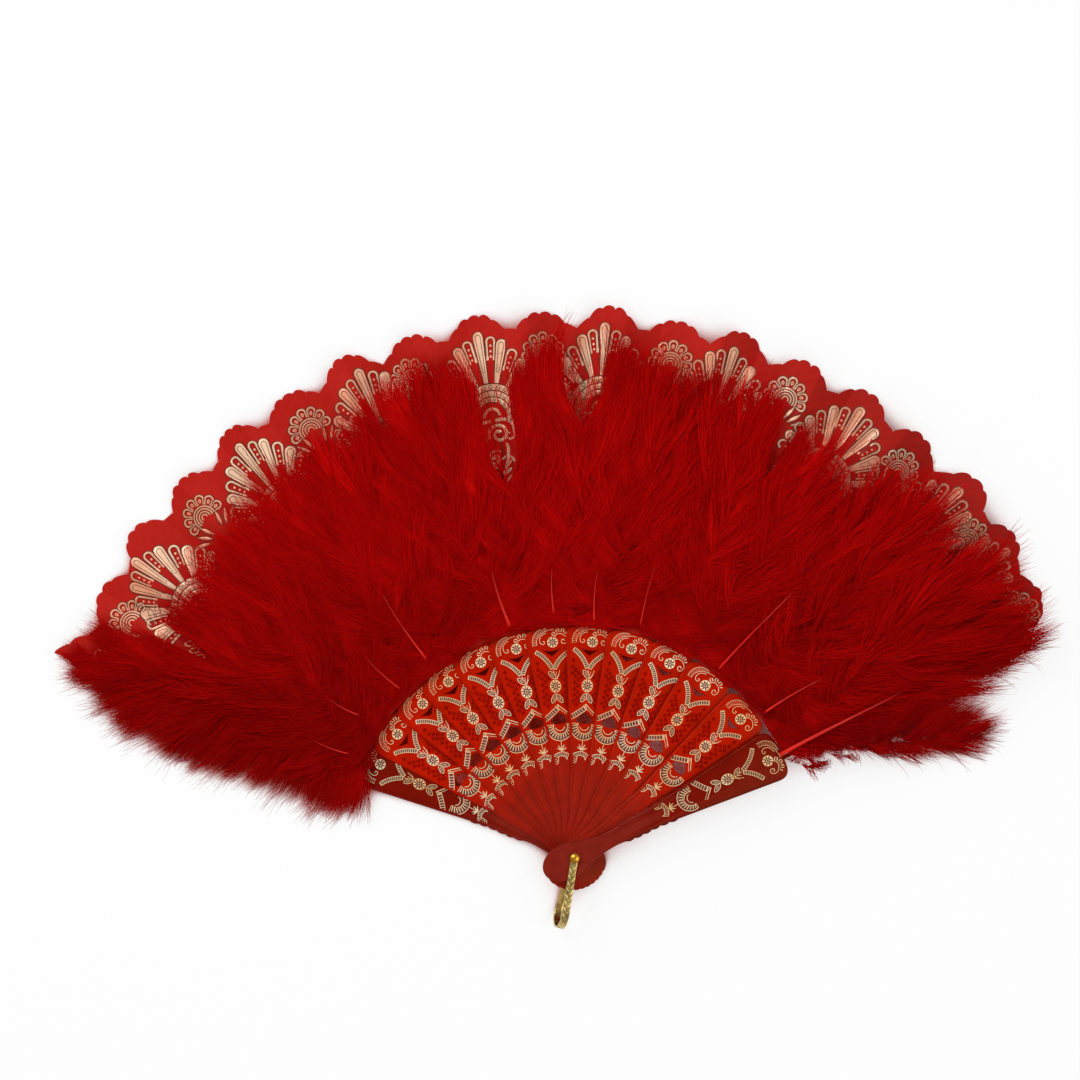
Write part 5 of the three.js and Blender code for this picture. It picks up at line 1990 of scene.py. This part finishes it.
    def barbs(self, shaft: Shaft, rng: np.random.Generator) -> tuple[Surface, Array]:
        """Builds all barbs of a shaft as flat ribbons that thin towards their tips.

        Args:
            shaft: The feather.
            rng: Source of random numbers.

        Returns:
            The barbs, and for each point the barb's tone and the place along it.
        """
        path, rise = self.paths(shaft, rng)
        total, columns = rise.shape
        ease = np.where(rng.random(total) < 0.06, 0.2, rng.uniform(0.55, 1.2, total))[:, None]
        points = self.in_space(self.laid(shaft, path), rise, ease)
        t = np.linspace(0, 1, columns)
        ahead = np.gradient(points, axis=1)
        ahead /= np.maximum(np.linalg.norm(ahead, axis=2, keepdims=True), 1e-9)
        level = np.stack([-ahead[..., 1], ahead[..., 0], 0 * ahead[..., 0]], -1)
        level /= np.maximum(np.linalg.norm(level, axis=2, keepdims=True), 1e-9)
        roll = rng.uniform(-0.35, 0.35, total)[:, None, None]
        across = level * np.cos(roll) + np.cross(ahead, level) * np.sin(roll)
        taper = (0.2 + 0.8 * (1 - t) ** 0.6) * np.minimum(1, 0.5 + 6 * t)
        half = rng.uniform(0.08, 0.17, (total, 1)) * taper
        across = across * half[..., None]
        ribbon = np.stack([points - across, points + across], 2)
        quads = grid_quads(columns, 2)[None] + (np.arange(total) * columns * 2)[:, None, None]
        tone = np.repeat(0.5 + 0.15 * rng.normal(size=shaft.wisps), self.strands)
        tone = np.clip(tone + rng.normal(0, 0.08, total), 0.02, 0.98)
        marks = np.empty((total, columns, 2, 2))
        marks[..., 0], marks[..., 1] = tone[:, None, None], t[None, :, None]
        return Surface(ribbon.reshape(-1, 3), quads.reshape(-1, 4)), marks.reshape(-1, 2)

    def quill(self, shaft: Shaft) -> tuple[Surface, Array]:
        """The bare quill: a six-sided tube on the down that thins and dives into it.

        Args:
            shaft: The feather.

        Returns:
            The quill, and the same two numbers for each point.
        """
        s = np.linspace(0, 1, 14)
        path = np.stack([shaft.quill_start + s * shaft.quill_length, 0.8 * np.sin(np.pi * s)], -1)
        rise = 11.0 - 6.5 * np.clip(s * 4 - 3, 0, 1) ** 2 - 3.0 * np.clip(1 - 12 * s, 0, 1)
        centre = self.in_space(self.laid(shaft, path), rise)
        radius = shaft.quill_radius * (1 - 0.75 * s)
        t = np.arange(6) * np.pi / 3
        c, n = math.cos(self.direction), math.sin(self.direction)
        ring = np.cos(t)[:, None] * np.array([-n, c, 0.0]) + np.sin(t)[:, None] * np.array([0, 0, 1.0])
        surface = tube(centre[:, None] + radius[:, None, None] * ring[None])
        marks = np.zeros((len(surface.points), 2))
        marks[: 14 * 6, 1] = np.repeat(s, 6)
        return surface, marks

    def build(self) -> None:
        """Builds the plume and lets it ride on its stick."""
        rng = np.random.default_rng(1000 * (self.row is PlumeRow.UPPER) + self.index)
        down = [self.barbs(shaft, rng) for shaft in self.shafts]
        quills = [self.quill(shaft) for shaft in self.shafts if shaft.quill_radius > 0]
        surfaces, marks = zip(*down, *quills)
        surface = Surface.joined(surfaces)
        is_quill = np.zeros(len(surface.quads) + len(surface.triangles), int)
        is_quill[sum(len(p.quads) for p, _ in down):] = 1
        materials = [self.finishes[Finish.DOWN], self.finishes[Finish.QUILL]]
        made = Piece(
            f"{self.row.value}_down_{self.index:02d}", surface, materials, "down", is_quill, sharp_angle=180
        ).make()
        for name in ("Barb", "OFBake"):
            add_uv(made, name, np.concatenate(marks))
        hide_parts(f"{self.row.value}_plume_{self.index:02d}")
        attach(made, self.layout.body(self.index))
        seat = float(self.layout.seats[self.index])
        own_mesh(made)


@dataclass
class Feathers:
    """Both rows of plumes, with each plume's reach, lean and quill as photographed."""

    layout: FanLayout
    finishes: Finishes
    down_root: float = 107.5
    barbs_past_tip: float = 19.0
    lower_reach: tuple[float, ...] = (216, 219, 219, 224, 232, 230, 232, 228, 222, 219, 234)
    upper_reach: tuple[float, ...] = (209, 217, 222, 222, 234, 228, 236, 230, 230, 219, 238, 240)
    quills: tuple[tuple[float, ...], ...] = (
        (0.5, 3, 0.45, 10, 12), (1.1, 0, 0.45, 3, 18), (1.0, -3.4, 0.6, 5, 34), (0, 1, 0, 0, 0),
        (-1.1, 1, 0.85, 2, 24), (-2.7, -4.6, 0.55, 4, 17), (-0.8, 0, 0.5, 1, 20), (-1.9, 0.5, 0.35, 2, 28),
        (0.5, -2, 0, 0, 0), (-0.9, -7.1, 0.55, 1, 50), (-5.0, -9, 0.6, 1, 28), (-0.6, 0.6, 0.95, -4, 64),
    )

    def bundle(
        self, reach: float, across: float, turn: float, radius: float = 0.0, bare: float = 0.0,
        visible: float = 0.0,
    ) -> list[Shaft]:
        """Sets up a plain plume: a middle feather with a shorter one on either side.

        Args:
            reach: Distance of the tip barbs' ends from the rivet.
            across: Start of the middle feather, to the left of the slip.
            turn: Turn of the middle feather, to the left.
            radius: Radius of its quill where it shows, or zero.
            bare: How far past the feather's start the quill comes into sight.
            visible: Length of the quill that shows.

        Returns:
            The three feathers.
        """
        root = self.down_root
        length = reach - self.barbs_past_tip - root
        sway = 1.5 if turn >= 0 else -1.5
        return [
            Shaft(
                (root, across), turn, length, sway, wisps=90, shortest=0.6,
                quill_radius=radius, quill_start=bare - 0.5, quill_length=visible + 6,
            ),
            Shaft((root, across + 3.5), turn + 5, length - 7, -sway, wisps=52, loft=3.6),
            Shaft((root, across - 3.5), turn - 5, length - 4, sway, wisps=52, loft=5.2),
        ]

    def left_end(self) -> list[Shaft]:
        """The plume on the back guard, whose barbs reach 30 mm past the guard."""
        past = Spread((114, 92, 76, 64, 24), (32, 33, 38, 40, 33), 0.42)
        over = Spread((100, 60, 44, 30, 14), (20, 33, 36, 34, 28))
        fringe = Spread((114, 90, 76, 62, 24), (19, 22, 26, 28, 24), 0.4)
        cover = Spread((60, 36, 14), (15, 17, 14), 0.6)
        return [
            Shaft(
                (107, 0), 1.0, 114, 0, past, over, wisps=150, loft=3.5, shortest=0.72, quill_radius=0.4,
                quill_start=6, quill_length=20,
            ),
            Shaft((107, 1), 0.0, 100, 0, past, over, wisps=70, loft=5.0, shortest=0.72),
            Shaft((106, 9), 1.0, 122, 0, fringe, fringe, wisps=120, loft=3.0, shortest=0.75),
            Shaft((190, 9), 4.0, 49, 0, cover, cover, wisps=70, loft=2.4, shortest=0.7),
        ]

    def right_end(self) -> list[Shaft]:
        """The plume on the front guard, and the small ones that hang below it."""
        past = Spread((60, 46, 34, 22, 14), (6, 16, 26, 31, 27), 0.6)
        over = Spread((100, 56, 40, 26, 14), (20, 33, 36, 34, 28))
        below = Spread((50, 40, 34, 14), (3, 8, 18, 26), 0.6)
        inner = Spread((70, 66, 56, 18), (12, 24, 28, 26), 0.7)
        tuft = Spread((60, 50, 30), (6, 9, 9), 0.4)
        across, turn, radius, bare, visible = self.quills[-1]
        return [
            Shaft(
                (108, across), turn, 110, -1.0, over, past, wisps=110, shortest=0.6, quill_radius=radius,
                quill_start=bare, quill_length=visible,
            ),
            Shaft((112, -2), -1.5, 104, 0.0, over, past, wisps=100, loft=3.5, shortest=0.6),
            Shaft((110, -3), -22.9, 76, 1.5, inner, below, wisps=120, loft=3.0, shortest=0.65),
            Shaft((107, -6), -50, 14, 2.5, tuft, tuft, wisps=4, loft=1.0),
        ]

    def build(self) -> None:
        """Builds the lower row, then the upper one."""
        last = self.layout.last
        for index in range(last + 1):
            if index in (0, last):
                shafts = self.right_end() if index else self.left_end()
            else:
                shafts = self.bundle(self.lower_reach[index - 1], *self.quills[index - 1])
            Plume(self.layout, self.finishes, PlumeRow.LOWER, index, shafts).build()
        for index in range(1, last + 1):
            shafts = self.bundle(self.upper_reach[index - 1], 0.0, (-1) ** index * 2.0)
            Plume(self.layout, self.finishes, PlumeRow.UPPER, index, shafts).build()


# Studio


@dataclass
class Studio:
    """Floor, lamps and camera."""

    finishes: Finishes
    view_centre: Point = (-0.0157, 0.1441)
    view_width: float = 0.4909
    lens: float = 85.0
    sensor: float = 36.0
    object_height: float = 0.014
    world_strength: float = 0.5
    floor_width: float = 24.0

    @staticmethod
    def placed(name: str, data: bpy.types.ID, place: Sequence[float] = (0, 0, 0)) -> bpy.types.Object:
        """Links a new object to the scene at a place."""
        holder = bpy.data.objects.new(name, data)
        holder.location = place
        bpy.context.scene.collection.objects.link(holder)
        return holder

    def camera(self) -> None:
        """Looks straight down, far enough for the frame to be as wide as the photograph."""
        data = bpy.data.cameras.new("camera")
        data.lens, data.sensor_width = self.lens, self.sensor
        height = self.object_height + self.view_width * self.lens / self.sensor
        bpy.context.scene.camera = self.placed("camera", data, (*self.view_centre, height))

    def lamp(self, name: str, place: tuple[float, float, float], size: float, power: float) -> None:
        """Adds a square soft lamp that faces the fan."""
        data = bpy.data.lights.new(name, "AREA")
        data.shape, data.size, data.energy = "SQUARE", size, power
        holder = self.placed(name, data, place)
        target = Vector((*self.view_centre, 0.0))
        holder.rotation_mode = "QUATERNION"
        holder.rotation_quaternion = (target - Vector(place)).to_track_quat("-Z", "Y")

    def world(self) -> None:
        """Fills the room with even light, and shows white to the camera."""
        world = bpy.data.worlds.new("studio")
        world.use_nodes = True
        bpy.context.scene.world = world
        nodes, links = world.node_tree.nodes, world.node_tree.links
        room, white = nodes["Background"], nodes.new("ShaderNodeBackground")
        for background, strength in ((room, self.world_strength), (white, 1.0)):
            background.inputs["Color"].default_value = (1, 1, 1, 1)
            background.inputs["Strength"].default_value = strength
        seen, mixed = nodes.new("ShaderNodeLightPath"), nodes.new("ShaderNodeMixShader")
        for index, source in enumerate((seen.outputs["Is Camera Ray"], room.outputs[0], white.outputs[0])):
            links.new(source, mixed.inputs[index])
        links.new(mixed.outputs[0], nodes["World Output"].inputs["Surface"])

    def floor(self) -> None:
        """Lays the pale floor that the fan rests on."""
        half = self.floor_width / 2
        mesh = bpy.data.meshes.new("studio_floor")
        corners = [(-half, -half, 0), (half, -half, 0), (half, half, 0), (-half, half, 0)]
        mesh.from_pydata(corners, [], [(0, 1, 2, 3)])
        mesh.materials.append(self.finishes[Finish.FLOOR])
        self.placed("studio_floor", mesh)

    def build(self) -> None:
        """Sets up the room."""
        self.camera()
        self.world()
        self.floor()
        self.lamp("key", (-0.75, 0.95, 1.25), 0.9, 16.0)
        self.lamp("fill", (0.95, -0.35, 1.3), 1.1, 8.0)
        bpy.context.scene.view_settings.view_transform = "Standard"


def main() -> None:
    """Builds the fan and its studio in order."""
    logging.basicConfig(level=logging.INFO, format="%(message)s")
    layout = FanLayout()
    finishes = {finish: finish.value.make() for finish in Finish}
    Studio(finishes).build()
    Sticks(layout, finishes).build()
    Hardware(finishes).build()
    Leaf(layout, finishes).build()
    Feathers(layout, finishes).build()


if __name__ == "__main__":
    main()
